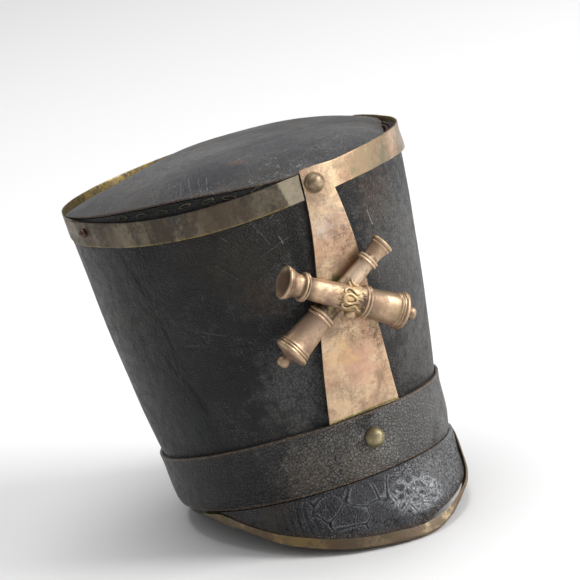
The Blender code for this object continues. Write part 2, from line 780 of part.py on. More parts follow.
def barrel_axes(barrel):
    """Directions of a barrel in the badge's frame: towards its knob, across it, and out."""
    tilt = math.radians(barrel.tilt)
    dip = math.radians(barrel.dip)
    level = Vector((math.cos(tilt), math.sin(tilt), 0.0))
    along = level * math.cos(dip) - Vector((0.0, 0.0, math.sin(dip)))
    across = Vector((-math.sin(tilt), math.cos(tilt), 0.0))
    return along, across, along.cross(across)


def join_to(base, other):
    """Unite another closed object with the base one."""
    union = base.modifiers.new("with_" + other.name, "BOOLEAN")
    union.operation = "UNION"
    union.object = other


def build_handle(name, side, frame, cutters):
    """One wavy lifting handle on the front barrel."""
    curve = bpy.data.curves.new(name, "CURVE")
    curve.dimensions = "3D"
    curve.bevel_depth = HANDLE_RADIUS
    curve.bevel_resolution = 1
    curve.use_fill_caps = True
    spline = curve.splines.new("POLY")
    spline.points.add(HANDLE_POINTS - 1)
    along, across, _ = barrel_axes(FRONT_BARREL)
    start = HANDLE_START - CROSSING_STATION
    top = FRONT_BARREL.depth + HANDLE_TOP
    for index, point in enumerate(spline.points):
        part = index / (HANDLE_POINTS - 1)
        sway = HANDLE_SWAY * math.sin(2.0 * math.pi * part)
        rise = HANDLE_RISE * math.sin(math.pi * part)
        place = along * (start + HANDLE_LENGTH * part) + across * (side * HANDLE_SPREAD + sway)
        point.co = (*(place + Vector((0.0, 0.0, top + rise))), 1.0)
    handle = bpy.data.objects.new(name, curve)
    cutters.objects.link(handle)
    handle.matrix_world = frame
    bpy.context.view_layer.update()
    return as_guide(as_mesh_object(handle, name), name, cutters)


def build_trunnion(frame, cutters):
    """Round pin that stands out below the front barrel."""
    bpy.ops.mesh.primitive_cylinder_add(
        vertices=TRUNNION_SIDES, radius=TRUNNION_RADIUS, depth=TRUNNION_LENGTH)
    trunnion = as_guide(bpy.context.object, "trunnion", cutters)
    along, across, out = barrel_axes(FRONT_BARREL)
    middle = along * (TRUNNION_STATION - CROSSING_STATION) - across * 0.5 * TRUNNION_LENGTH
    middle.z = FRONT_BARREL.depth
    turn = Matrix((along, out, -across)).transposed().to_4x4()
    trunnion.matrix_world = frame @ Matrix.Translation(middle) @ turn
    return trunnion


def build_badge(parts, cutters):
    """Crossed cannons: two barrels, a trunnion and two handles, flat where they meet the plate."""
    frame = badge_frame()
    badge = build_barrel("cannon_badge", FRONT_BARREL, frame, parts)
    rear = build_barrel("rear_barrel", REAR_BARREL, frame, cutters)
    join_to(badge, as_guide(rear, "rear_barrel", cutters))
    join_to(badge, build_trunnion(frame, cutters))
    for name, side in (("upper_handle", 1.0), ("lower_handle", -1.0)):
        join_to(badge, build_handle(name, side, frame, cutters))
    reach = BARREL_ROWS[-1].station
    size = (BADGE_BACK_RIGHT - BADGE_BACK_LEFT, 2.0 * reach, reach)
    middle = Vector((0.5 * (BADGE_BACK_LEFT + BADGE_BACK_RIGHT) - BADGE_CROSSING.x, 0.0, -0.5 * reach))
    cut_from(badge, box_guide("badge_back", size, frame @ Matrix.Translation(middle), cutters))


def stand_on_floor(parts, guides):
    """Tip the hat to its natural rest, then set its box's bottom centre on the origin."""
    rest = bpy.data.objects.new("hat_rest", None)
    parts.objects.link(rest)
    rest.rotation_euler = (math.radians(-REST_PITCH), math.radians(-REST_ROLL), 0.0)
    bpy.context.view_layer.update()
    turn = rest.matrix_world.copy()
    for thing in guides:
        placed = thing.matrix_world.copy()
        thing.parent = rest
        thing.matrix_parent_inverse = Matrix.Identity(4)
        thing.matrix_world = turn @ placed
    bpy.context.view_layer.update()
    graph = bpy.context.evaluated_depsgraph_get()
    corners = []
    for thing in parts.objects:
        if thing.type != "MESH":
            continue
        evaluated = thing.evaluated_get(graph)
        mesh = evaluated.to_mesh()
        corners += [evaluated.matrix_world @ vert.co for vert in mesh.vertices]
        evaluated.to_mesh_clear()
    low = [min(corner[axis] for corner in corners) for axis in range(3)]
    high = [max(corner[axis] for corner in corners) for axis in range(3)]
    rest.location = (-(low[0] + high[0]) / 2.0, -(low[1] + high[1]) / 2.0, -low[2])
    bpy.context.view_layer.update()


def main():
    """Build every piece of the hat and stand it on its rest."""
    clear_scene()
    parts = bpy.data.collections.new("shako_hat")
    cutters = bpy.data.collections.new("cutters")
    bpy.context.scene.collection.children.link(parts)
    bpy.context.scene.collection.children.link(cutters)

    build_crown_wall(parts, cutters)
    build_crown_top(parts)
    build_band_strip("band_right", RIGHT_STRIP_START, RIGHT_STRIP_END, parts, right_strip_flare)
    build_band_strip("band_back", BACK_STRIP_START, BACK_STRIP_END, parts)
    build_plate(parts)
    build_strap(parts)
    build_peak(parts)
    build_binding(parts)
    build_rivets(parts)
    build_badge(parts, cutters)

    bpy.context.view_layer.update()
    stand_on_floor(parts, list(parts.objects) + list(cutters.objects))


main()
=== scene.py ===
"""An old leather shako with brass fittings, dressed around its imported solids.

Metres, +Z up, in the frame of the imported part. Shapes are laid out in the hat's own upright
frame, where z = 0 lies just below the base strap, the front looks along -Y and the wearer's
left is +X, and are then tipped to the rest in which the hat stands on the floor. Angles
round the crown are counted from the front, positive towards the wearer's left.
"""
import logging
import math
from dataclasses import dataclass, replace
from enum import Enum
from typing import Callable, Sequence

import bmesh
import bpy
import numpy as np
from mathutils import Euler, Matrix, Vector, noise


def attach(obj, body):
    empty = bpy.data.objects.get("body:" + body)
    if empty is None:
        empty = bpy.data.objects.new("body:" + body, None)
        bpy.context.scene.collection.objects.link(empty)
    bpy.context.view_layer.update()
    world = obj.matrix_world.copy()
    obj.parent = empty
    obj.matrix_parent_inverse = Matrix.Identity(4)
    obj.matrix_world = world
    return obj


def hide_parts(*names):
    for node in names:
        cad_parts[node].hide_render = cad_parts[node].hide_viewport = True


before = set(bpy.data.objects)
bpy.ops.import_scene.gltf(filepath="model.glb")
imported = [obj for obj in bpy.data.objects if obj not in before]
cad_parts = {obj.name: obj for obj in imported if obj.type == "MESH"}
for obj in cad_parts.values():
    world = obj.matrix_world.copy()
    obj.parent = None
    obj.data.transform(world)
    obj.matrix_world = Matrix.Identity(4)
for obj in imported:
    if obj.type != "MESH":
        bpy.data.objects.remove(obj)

LOG = logging.getLogger("shako")
BODY = "root"
GIRTH = 0.105
GAP = 0.0003
WELD = 0.00001
UP = Vector((0.0, 0.0, 1.0))

Colour = tuple[float, float, float]
Point = tuple[float, float, float]
Pair = tuple[float, float]
Place = Callable[[float, float], Vector]
Socket = bpy.types.NodeSocket


class Side(Enum):
    """Which faces of a thickened sheet a material slot dresses."""

    OUTSIDE = 0
    INSIDE = 1
    EDGE = 2


def fade(value: float, start: float, end: float) -> float:
    """Smooth step from 0 at start to 1 at end; start may be the larger."""
    part = min(max((value - start) / (end - start), 0.0), 1.0)
    return part * part * (3.0 - 2.0 * part)


def bump_at(value: float, middle: float, width: float) -> float:
    """Bell of height 1 at middle, that many units wide to each side."""
    return math.exp(-((value - middle) / width) ** 2)


def signed_degrees(angle: float) -> float:
    """Angle in degrees between -180 and 180."""
    return math.degrees(math.atan2(math.sin(angle), math.cos(angle)))


def level_way(point: Vector) -> Vector:
    """Level direction from the hat's axis to a place, of length 1."""
    return Vector((point.x, point.y, 0.0)).normalized()


# ---------------------------------------------------------------------------
# The hat's own frame and the sizes that its pieces share


@dataclass(frozen=True)
class Rest:
    """How the upright hat is tipped to stand by itself."""

    pitch: float = 9.25
    roll: float = 1.0
    place: Point = (0.00193, -0.01293, 0.01962)

    def matrix(self) -> Matrix:
        """Placement of the hat's frame in the part's."""
        turn = Euler((math.radians(-self.pitch), math.radians(-self.roll), 0.0)).to_matrix()
        return Matrix.Translation(self.place) @ turn.to_4x4()


REST = Rest().matrix()


@dataclass(frozen=True)
class Wave:
    """One wave of a rim that is out of true."""

    order: int
    cosine: float
    sine: float

    def at(self, angle: float) -> float:
        """Height of the wave at an angle in radians."""
        return self.cosine * math.cos(self.order * angle) + self.sine * math.sin(self.order * angle)


@dataclass(frozen=True)
class Ripple:
    """Unevenness of an old surface: how fine it is along each axis, and how high."""

    fineness: Point
    height: float

    def at(self, point: Vector) -> float:
        """Metres outwards at a place."""
        spot = Vector([part * fine for part, fine in zip(point, self.fineness)])
        return noise.noise(spot) * self.height


def even_ripple(fineness: float, height: float) -> Ripple:
    """Ripple that is as fine along every axis."""
    return Ripple((fineness, fineness, fineness), height)


@dataclass(frozen=True)
class Swell:
    """A place where one rim stands above another, between two angles in degrees."""

    start: float
    peak: float
    end: float
    height: float

    def at(self, degrees: float) -> float:
        """Height of the swell at an angle, all the way round.

        Args:
            degrees: the angle from the front.

        Returns:
            The height, which is 0 outside the swell.
        """
        degrees = (degrees - self.peak + 180.0) % 360.0 - 180.0 + self.peak
        if degrees < self.peak:
            return self.height * fade(degrees, self.start, self.peak)
        return self.height * (1.0 - fade(degrees, self.peak, self.end))


@dataclass(frozen=True)
class CrownForm:
    """The crown's bell and the rims that lie on it."""

    height: float = 0.2092
    rim: float = -0.0038
    base_half_length: float = 0.0990
    base_half_width: float = 0.0846
    top_half_length: float = 0.1293
    top_half_width: float = 0.1097
    top_forward: float = 0.0018
    top_left: float = 0.0013
    bulge: float = 0.0033
    disc_inset: float = 0.0004
    disc_thickness: float = 0.0014
    band_height: float = 0.0167
    band_proud: float = 0.0014
    band_waves: tuple[Wave, ...] = (
        Wave(1, -0.0043, 0.0027), Wave(2, 0.0012, 0.0007), Wave(3, 0.0010, 0.0013))
    leather_swells: tuple[Swell, ...] = (
        Swell(-118, -48, 2, 0.0096), Swell(-205, -146, -98, -0.0062),
        Swell(55, 108, 170, 0.0013))
    disc_pull: float = 0.0088

    def point(self, angle: float, height: float, proud: float = 0.0) -> Vector:
        """Point on the crown's outside, or that far proud of it.

        Args:
            angle: radians from the front.
            height: metres above the frame's origin.
            proud: metres outwards.

        Returns:
            The point in the hat's frame.
        """
        part = height / self.height
        extra = self.bulge * 4.0 * part * (1.0 - part) + proud
        length = self.base_half_length + (self.top_half_length - self.base_half_length) * part
        width = self.base_half_width + (self.top_half_width - self.base_half_width) * part
        x = self.top_left * part + (width + extra) * math.sin(angle)
        y = -(self.top_forward * part + (length + extra) * math.cos(angle))
        return Vector((x, y, height))

    def band_top(self, angle: float) -> float:
        """Height of the brass band's upper edge."""
        return self.height + sum(wave.at(angle) for wave in self.band_waves)

    def leather_top(self, angle: float) -> float:
        """Height of the crown top's upper edge."""
        degrees = signed_degrees(angle)
        rise = sum(swell.at(degrees) for swell in self.leather_swells)
        return self.band_top(angle) + rise - self.disc_inset

    def shrunk(self, angle: float) -> float:
        """How far the top's edge has shrunk in from the wall, on the wearer's left."""
        degrees = signed_degrees(angle)
        return self.disc_pull * fade(degrees, 36.0, 54.0) * fade(degrees, 88.0, 64.0)


@dataclass(frozen=True)
class StrapForm:
    """The base strap's edges and how far it stands off the crown."""

    crown: CrownForm = CrownForm()
    thickness: float = 0.0020
    bottom: float = 0.0026
    sag: float = 0.0030
    top: float = 0.0415
    proud_top: float = 0.0024
    proud_tuck: float = 0.0060
    lean: float = 0.0018
    top_waves: tuple[Wave, ...] = (Wave(1, 0.0023, 0.0029), Wave(2, 0.0003, -0.0014))
    bottom_waves: tuple[Wave, ...] = (Wave(2, 0.0010, 0.0007),)
    sag_reach: Pair = (118.0, 170.0)
    push_reach: Pair = (110.0, 160.0)
    lean_reach: Pair = (55.0, 90.0)
    step_reach: Pair = (0.22, 0.95)

    def low(self, angle: float) -> float:
        """Height of the strap's lower edge."""
        sag = self.sag * fade(abs(signed_degrees(angle)), *self.sag_reach)
        return self.bottom + sum(wave.at(angle) for wave in self.bottom_waves) - sag

    def high(self, angle: float) -> float:
        """Height of the strap's upper edge."""
        return self.top + sum(wave.at(angle) for wave in self.top_waves)

    def proud(self, angle: float, part: float) -> float:
        """How far the outside stands off the crown.

        Args:
            angle: radians from the front.
            part: place across the strap, from 0 at its lower edge to 1.

        Returns:
            Metres outwards.
        """
        degrees = abs(signed_degrees(angle))
        pushed = 1.0 - fade(degrees, *self.push_reach)
        lean = self.lean * fade(degrees, *self.lean_reach) * math.copysign(1.0, math.sin(angle))
        low = self.proud_top + (self.proud_tuck - self.proud_top + lean) * pushed
        return low + (self.proud_top - low) * fade(part, *self.step_reach)

    def point(self, angle: float, height: float, extra: float = 0.0) -> Vector:
        """Point on the strap's outside, or that far proud of it.

        Args:
            angle: radians from the front.
            height: metres above the frame's origin.
            extra: metres outwards.

        Returns:
            The point in the hat's frame.
        """
        low = self.low(angle)
        part = (height - low) / (self.high(angle) - low)
        return self.crown.point(angle, height, self.proud(angle, part) + extra)


CROWN = CrownForm()
STRAP = StrapForm()


def base_angle(point: Vector) -> float:
    """Angle of a place round the crown's base, in radians from the front."""
    return math.atan2(point.x / CROWN.base_half_width, -point.y / CROWN.base_half_length)


# ---------------------------------------------------------------------------
# Modelling tools


def deselect_all() -> None:
    """Leave nothing selected and nothing in edit mode."""
    if bpy.context.object and bpy.context.object.mode != "OBJECT":
        bpy.ops.object.mode_set(mode="OBJECT")
    bpy.ops.object.select_all(action="DESELECT")


def pick(thing: bpy.types.Object) -> None:
    """Make one object the only one selected, and the active one."""
    deselect_all()
    thing.select_set(True)
    bpy.context.view_layer.objects.active = thing


def edit(thing: bpy.types.Object, action: str) -> None:
    """Pick a piece and go into its edit mode with all or nothing selected."""
    pick(thing)
    bpy.ops.object.mode_set(mode="EDIT")
    bpy.ops.mesh.select_all(action=action)


def select_edges(thing: bpy.types.Object,
                 wanted: Callable[[bmesh.types.BMEdge], bool]) -> None:
    """Go into a piece's edit mode with only some of its edges selected.

    Args:
        thing: the piece.
        wanted: tells whether an edge is selected.
    """
    edit(thing, "DESELECT")
    bpy.ops.mesh.select_mode(type="EDGE")
    shape = bmesh.from_edit_mesh(thing.data)
    for edge in shape.edges:
        edge.select = wanted(edge)
    bmesh.update_edit_mesh(thing.data)


def weld(thing: bpy.types.Object, quads: bool = False, outwards: bool = False) -> None:
    """Merge a piece's doubled points.

    Args:
        thing: the piece.
        quads: whether its triangles are joined to quads.
        outwards: whether its faces are turned outwards.
    """
    edit(thing, "SELECT")
    bpy.ops.mesh.remove_doubles(threshold=WELD)
    if quads:
        bpy.ops.mesh.tris_convert_to_quads(
            face_threshold=math.radians(20), shape_threshold=math.radians(60))
    if outwards:
        bpy.ops.mesh.normals_make_consistent(inside=False)
    bpy.ops.object.mode_set(mode="OBJECT")


def new_tube(name: str, columns: int, rows: int, place: Place) -> bpy.types.Object:
    """Add a tube and bend it to a rule.

    Args:
        name: the piece's name.
        columns: faces round it.
        rows: faces along it.
        place: gives a point for an angle in radians and a part of the height.

    Returns:
        The open tube, its faces outwards.
    """
    deselect_all()
    bpy.ops.mesh.primitive_cylinder_add(
        vertices=columns, radius=1.0, depth=1.0, end_fill_type="NOTHING")
    tube = bpy.context.object
    tube.name = name
    select_edges(tube, lambda edge: abs(edge.verts[0].co.z - edge.verts[1].co.z) > 0.5)
    bpy.ops.mesh.subdivide(number_cuts=rows - 1)
    bpy.ops.object.mode_set(mode="OBJECT")
    for vert in tube.data.vertices:
        angle = math.atan2(vert.co.x, -vert.co.y)
        vert.co = place(angle, min(max(vert.co.z + 0.5, 0.0), 1.0))
    return tube


def new_sheet(name: str, columns: int, rows: int, place: Place) -> bpy.types.Object:
    """Add a grid and bend it to a rule that takes two parts from 0 to 1.

    Args:
        name: the piece's name.
        columns: faces along it.
        rows: faces up it.
        place: gives a point for a part along and a part up.

    Returns:
        The open sheet.
    """
    deselect_all()
    bpy.ops.mesh.primitive_grid_add(x_subdivisions=columns, y_subdivisions=rows, size=1.0)
    sheet = bpy.context.object
    sheet.name = name
    for vert in sheet.data.vertices:
        vert.co = place(vert.co.x + 0.5, vert.co.y + 0.5)
    return sheet


def copy_of_node(node: str, name: str) -> bpy.types.Object:
    """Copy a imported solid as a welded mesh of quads, in the hat's frame.

    Args:
        node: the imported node's name.
        name: the new piece's name.

    Returns:
        The copy, with no material.
    """
    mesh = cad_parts[node].data.copy()
    mesh.materials.clear()
    piece = bpy.data.objects.new(name, mesh)
    bpy.context.scene.collection.objects.link(piece)
    pick(piece)
    if mesh.has_custom_normals:
        bpy.ops.mesh.customdata_custom_splitnormals_clear()
    weld(piece, quads=True)
    mesh.transform(REST.inverted())
    return piece


def crease_sharp(thing: bpy.types.Object, degrees: float, firmness: float) -> None:
    """Hold the edges sharper than an angle against subdivision.

    Args:
        thing: the piece.
        degrees: the least angle between two faces.
        firmness: from 0, free, to 1, held.
    """
    edit(thing, "DESELECT")
    bpy.ops.mesh.select_mode(type="EDGE")
    bpy.ops.mesh.edges_select_sharp(sharpness=math.radians(degrees))
    bpy.ops.transform.edge_crease(value=firmness)
    bpy.ops.object.mode_set(mode="OBJECT")


def apply_modifier(thing: bpy.types.Object, kind: str, **settings: object) -> None:
    """Give a piece a modifier and keep the result.

    Args:
        thing: the piece.
        kind: the modifier's type.
        settings: the modifier's own properties.
    """
    pick(thing)
    modifier = thing.modifiers.new(kind.lower(), kind)
    for name, value in settings.items():
        setattr(modifier, name, value)
    bpy.ops.object.modifier_apply(modifier=modifier.name)


def apply_bevel(thing: bpy.types.Object, width: float, segments: int = 2,
                degrees: float = 60.0) -> None:
    """Round a piece's sharp edges.

    Args:
        thing: the piece.
        width: metres.
        segments: faces across each rounding.
        degrees: the least angle between two faces of a sharp edge.
    """
    apply_modifier(thing, "BEVEL", width=width, segments=segments, limit_method="ANGLE",
                   angle_limit=math.radians(degrees))


def apply_wall(thing: bpy.types.Object, thickness: float) -> None:
    """Give an open sheet its wall, inwards; inside and edges take slots 1 and 2."""
    apply_modifier(thing, "SOLIDIFY", thickness=thickness, offset=-1.0, use_even_offset=True,
                   material_offset=Side.INSIDE.value, material_offset_rim=Side.EDGE.value)


def apply_boolean(thing: bpy.types.Object, other: bpy.types.Object, operation: str) -> None:
    """Unite or cut with another closed piece, which is used up."""
    apply_modifier(thing, "BOOLEAN", operation=operation, object=other)
    bpy.data.objects.remove(other, do_unlink=True)


def shade(thing: bpy.types.Object, degrees: float = 50.0) -> None:
    """Shade smooth but for edges sharper than an angle."""
    pick(thing)
    bpy.ops.object.shade_smooth_by_angle(angle=math.radians(degrees))


def store(thing: bpy.types.Object, name: str, values: Sequence[float]) -> None:
    """Keep one number per point of a mesh, for its material to read."""
    attribute = thing.data.attributes.new(name, "FLOAT", "POINT")
    attribute.data.foreach_set("value", np.asarray(values, dtype=np.float32))


def rows_of(thing: bpy.types.Object, kind: str) -> np.ndarray:
    """A mesh's points ("co") or their normals ("normal"), one row each."""
    flat = np.empty(len(thing.data.vertices) * 3, dtype=np.float32)
    thing.data.vertices.foreach_get(kind, flat)
    return flat.reshape(-1, 3)


def dent(thing: bpy.types.Object, *ripples: Ripple) -> None:
    """Push each point of a mesh along its normal.

    Args:
        thing: the piece, in the hat's frame.
        ripples: their sum is how far it is pushed.
    """
    points, normals = rows_of(thing, "co"), rows_of(thing, "normal")
    pushes = np.array([sum(ripple.at(point) for ripple in ripples) for point in points.tolist()],
                      dtype=np.float32)
    thing.data.vertices.foreach_set("co", (points + normals * pushes[:, None]).ravel())
    thing.data.update()


def store_hollows(thing: bpy.types.Object, rounds: int = 1) -> None:
    """Keep how hollow (above 0) or proud (below 0) each point is, as attribute "hollow".

    Args:
        thing: the piece.
        rounds: times that the measure is spread to its neighbours.
    """
    mesh = thing.data
    points, normals = rows_of(thing, "co"), rows_of(thing, "normal")
    ends = np.empty(len(mesh.edges) * 2, dtype=np.int32)
    mesh.edges.foreach_get("vertices", ends)
    first, second = ends.reshape(-1, 2).T

    def gathered(at_first: np.ndarray | None, at_second: np.ndarray | None) -> np.ndarray:
        """Sum, at each point, of numbers that its edges bring to their two ends."""
        return (np.bincount(first, at_first, len(points))
                + np.bincount(second, at_second, len(points)))

    along = points[second] - points[first]
    length = np.maximum(np.linalg.norm(along, axis=1), 1e-7)
    count = np.maximum(gathered(None, None), 1)
    hollow = gathered((along * normals[first]).sum(1) / length,
                      -(along * normals[second]).sum(1) / length) / count
    for _ in range(rounds):
        hollow = gathered(hollow[second], hollow[first]) / count
    store(thing, "hollow", hollow)


def turned(name: str, outline: Sequence[Pair], sides: int) -> bpy.types.Object:
    """Turn a closed piece about Z by extruding a ring from row to row.

    Args:
        name: the piece's name.
        outline: (radius, height) rows from the top down the outside; both ends are closed.
        sides: faces round it.

    Returns:
        The closed piece.
    """
    deselect_all()
    radius, height = outline[0]
    bpy.ops.mesh.primitive_circle_add(
        vertices=sides, radius=radius, fill_type="TRIFAN", location=(0, 0, height))
    piece = bpy.context.object
    piece.name = name
    bpy.ops.object.transform_apply(location=True, rotation=False, scale=False)
    select_edges(piece, lambda edge: edge.is_boundary)
    for next_radius, next_height in outline[1:]:
        bpy.ops.mesh.extrude_edges_move(
            TRANSFORM_OT_translate={"value": (0.0, 0.0, next_height - height)})
        share = next_radius / radius
        bpy.ops.transform.resize(value=(share, share, 1.0), center_override=(0, 0, next_height))
        radius, height = next_radius, next_height
    bpy.ops.mesh.edge_face_add()
    bpy.ops.mesh.select_all(action="SELECT")
    bpy.ops.mesh.normals_make_consistent(inside=False)
    bpy.ops.object.mode_set(mode="OBJECT")
    return piece


def axes_matrix(x_axis: Vector, y_axis: Vector, z_axis: Vector) -> Matrix:
    """Turn whose three axes are given."""
    return Matrix((x_axis, y_axis, z_axis)).transposed().to_4x4()


def frame_matrix(origin: Vector, outward: Vector, up_hint: Vector = UP) -> Matrix:
    """Placement whose Z points outward and whose Y is as near as it can be to up_hint.

    Args:
        origin: the place.
        outward: the way that Z points.
        up_hint: the way that Y leans to.

    Returns:
        The placement.
    """
    z_axis = outward.normalized()
    x_axis = up_hint.cross(z_axis).normalized()
    return Matrix.Translation(origin) @ axes_matrix(x_axis, z_axis.cross(x_axis), z_axis)


def outward_normal(surface: Place, angle: float, height: float) -> Vector:
    """Outward normal of a surface at an angle and a height.

    Args:
        surface: gives a point for an angle in radians and a height.
        angle: radians from the front.
        height: metres.

    Returns:
        The normal, of length 1.
    """
    step = 0.001
    along = surface(angle + step, height) - surface(angle - step, height)
    up = surface(angle, height + step) - surface(angle, height - step)
    return along.cross(up).normalized()


def hand_in(thing: bpy.types.Object, slot: str, finishes: Sequence["Leather | Brass | Raw"],
            *nodes: str) -> None:
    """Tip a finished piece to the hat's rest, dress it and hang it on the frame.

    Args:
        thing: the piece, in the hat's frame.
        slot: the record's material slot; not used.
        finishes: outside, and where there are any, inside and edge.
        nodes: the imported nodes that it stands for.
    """
    thing.data.transform(REST)
    thing.data.update()
    thing.data.materials.clear()
    for finish in finishes:
        thing.data.materials.append(finish.material())
    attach(thing, BODY)
    if nodes:
        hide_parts(*nodes)
    LOG.info("%s: %d faces", thing.name, len(thing.data.polygons))


# ---------------------------------------------------------------------------
# Node tools and the effects that several materials share


@dataclass(frozen=True)
class Cloud:
    """A noise between soft limits: 0 where it is below low, 1 where it is above high."""

    scale: float
    low: float
    high: float
    detail: float = 4.0
    rough: float = 0.55
    warp: float = 0.0


class Net:
    """Lays nodes in one tree, with numbers or sockets for their inputs."""

    def __init__(self, tree: bpy.types.NodeTree) -> None:
        """Hold the tree that the nodes go in."""
        self.tree = tree

    def put(self, target: Socket, value: object) -> None:
        """Link a socket to an input, or set the input's own value.

        Args:
            target: the input.
            value: a socket, a number, a place or a colour.
        """
        if isinstance(value, Socket):
            self.tree.links.new(value, target)
        elif isinstance(value, tuple) and target.type == "RGBA" and len(value) == 3:
            target.default_value = (*value, 1.0)
        else:
            target.default_value = value

    def node(self, kind: str, inputs: dict[object, object], **settings: object) -> bpy.types.Node:
        """Add a node.

        Args:
            kind: the node's class name, without its beginning.
            inputs: values or sockets by the input's name or number.
            settings: the node's own properties.

        Returns:
            The node.
        """
        made = self.tree.nodes.new("ShaderNode" + kind)
        for name, value in settings.items():
            setattr(made, name, value)
        for name, value in inputs.items():
            self.put(made.inputs[name], value)
        return made

    def math(self, operation: str, first: object, second: object = 0.0) -> Socket:
        """One Math node's result."""
        return self.node("Math", {0: first, 1: second}, operation=operation).outputs[0]

    def vector(self, operation: str, first: object, second: object) -> Socket:
        """One Vector Math node's vector."""
        return self.node("VectorMath", {0: first, 1: second}, operation=operation).outputs[0]

    def measure(self, operation: str, first: object, second: object) -> Socket:
        """One Vector Math node's number."""
        made = self.node("VectorMath", {0: first, 1: second}, operation=operation)
        return made.outputs["Value"]

    def scaled(self, vector: object, size: object) -> Socket:
        """Vector times a number."""
        return self.node("VectorMath", {0: vector, "Scale": size}, operation="SCALE").outputs[0]

    def add(self, first: object, second: object) -> Socket:
        """Sum of two numbers."""
        return self.math("ADD", first, second)

    def less(self, first: object, second: object) -> Socket:
        """First number less the second."""
        return self.math("SUBTRACT", first, second)

    def times(self, first: object, second: object) -> Socket:
        """Product of two numbers."""
        return self.math("MULTIPLY", first, second)

    def total(self, *parts: tuple[Socket, float]) -> Socket:
        """Sum of values, each times its own weight.

        Args:
            parts: value and weight of each.

        Returns:
            The sum.
        """
        result = self.times(*parts[0])
        for value, weight in parts[1:]:
            result = self.add(result, self.times(value, weight))
        return result

    def ramp(self, value: object, start: float, end: float, low: float = 0.0,
             high: float = 1.0) -> Socket:
        """Smooth step of a value, from low at start to high at end."""
        inputs = {"Value": value, "From Min": start, "From Max": end, "To Min": low, "To Max": high}
        return self.node("MapRange", inputs, interpolation_type="SMOOTHSTEP").outputs[0]

    def lay(self, colour: object, *coats: tuple[object, object, object]) -> Socket:
        """Lay colours over a ground, one after another.

        Args:
            colour: the ground.
            coats: mask, strength and colour of each.

        Returns:
            The colour that shows.
        """
        for mask, strength, over in coats:
            share = mask if strength == 1.0 else self.times(mask, strength)
            colour = self.node("Mix", {0: share, 6: colour, 7: over}, data_type="RGBA").outputs[2]
        return colour

    def noise(self, point: Socket, scale: object, detail: float = 4.0, rough: float = 0.55,
              warp: float = 0.0) -> Socket:
        """Noise between about 0.3 and 0.7 round a half."""
        inputs = {"Vector": point, "Scale": scale, "Detail": detail, "Roughness": rough,
                  "Distortion": warp}
        return self.node("TexNoise", inputs).outputs[0]

    def cloud(self, point: Socket, kind: Cloud, share: float = 1.0) -> Socket:
        """Mask of a noise between its limits.

        Args:
            point: where it is read.
            kind: the noise.
            share: times its scale.

        Returns:
            The mask, from 0 to 1.
        """
        drawn = self.noise(point, kind.scale * share, kind.detail, kind.rough, kind.warp)
        return self.ramp(drawn, kind.low, kind.high)

    def cells(self, point: Socket, scale: object, feature: str = "F1") -> bpy.types.Node:
        """Voronoi cells."""
        return self.node("TexVoronoi", {"Vector": point, "Scale": scale}, feature=feature)

    def stretch(self, point: Socket, scale: Point, turn: Point = (0.0, 0.0, 0.0)) -> Socket:
        """Point turned and then stretched."""
        turned_point = self.node("Mapping", {"Vector": point, "Rotation": turn}).outputs[0]
        return self.vector("MULTIPLY", turned_point, scale)

    def shifted(self, point: Socket, size: object, scale: float) -> Socket:
        """Point pushed about by a noise, so that straight patterns wander.

        Args:
            point: the point.
            size: metres that it is pushed at most.
            scale: the noise's scale.

        Returns:
            The point after the push.
        """
        wander = self.node("TexNoise", {"Vector": point, "Scale": scale, "Detail": 3.0})
        centred = self.vector("SUBTRACT", wander.outputs["Color"], (0.5, 0.5, 0.5))
        return self.vector("ADD", point, self.scaled(centred, size))

    def attribute(self, name: str) -> Socket:
        """A number kept on the mesh."""
        return self.node("Attribute", {}, attribute_name=name).outputs["Fac"]

    def group(self, tree: bpy.types.NodeTree, **inputs: object) -> bpy.types.Node:
        """Place a shared effect with its own values."""
        return self.node("Group", inputs, node_tree=tree)


def new_effect(name: str, inputs: Sequence[tuple[str, str, object]],
               outputs: Sequence[tuple[str, str]] = (("Mask", "Float"),)
               ) -> tuple[Net, dict[str, Socket], bpy.types.Node]:
    """Start a shared effect.

    Args:
        name: the effect's name.
        inputs: name, kind (Float, Vector or Color) and starting value of each input.
        outputs: name and kind of each output.

    Returns:
        Its net, its inputs by name and the node that takes its outputs.
    """
    tree = bpy.data.node_groups.new(name, "ShaderNodeTree")
    for label, kind, value in inputs:
        socket = tree.interface.new_socket(label, in_out="INPUT", socket_type="NodeSocket" + kind)
        if value is not None:
            socket.default_value = value
    for label, kind in outputs:
        tree.interface.new_socket(label, in_out="OUTPUT", socket_type="NodeSocket" + kind)
    entry = tree.nodes.new("NodeGroupInput")
    leave = tree.nodes.new("NodeGroupOutput")
    return Net(tree), {socket.name: socket for socket in entry.outputs}, leave


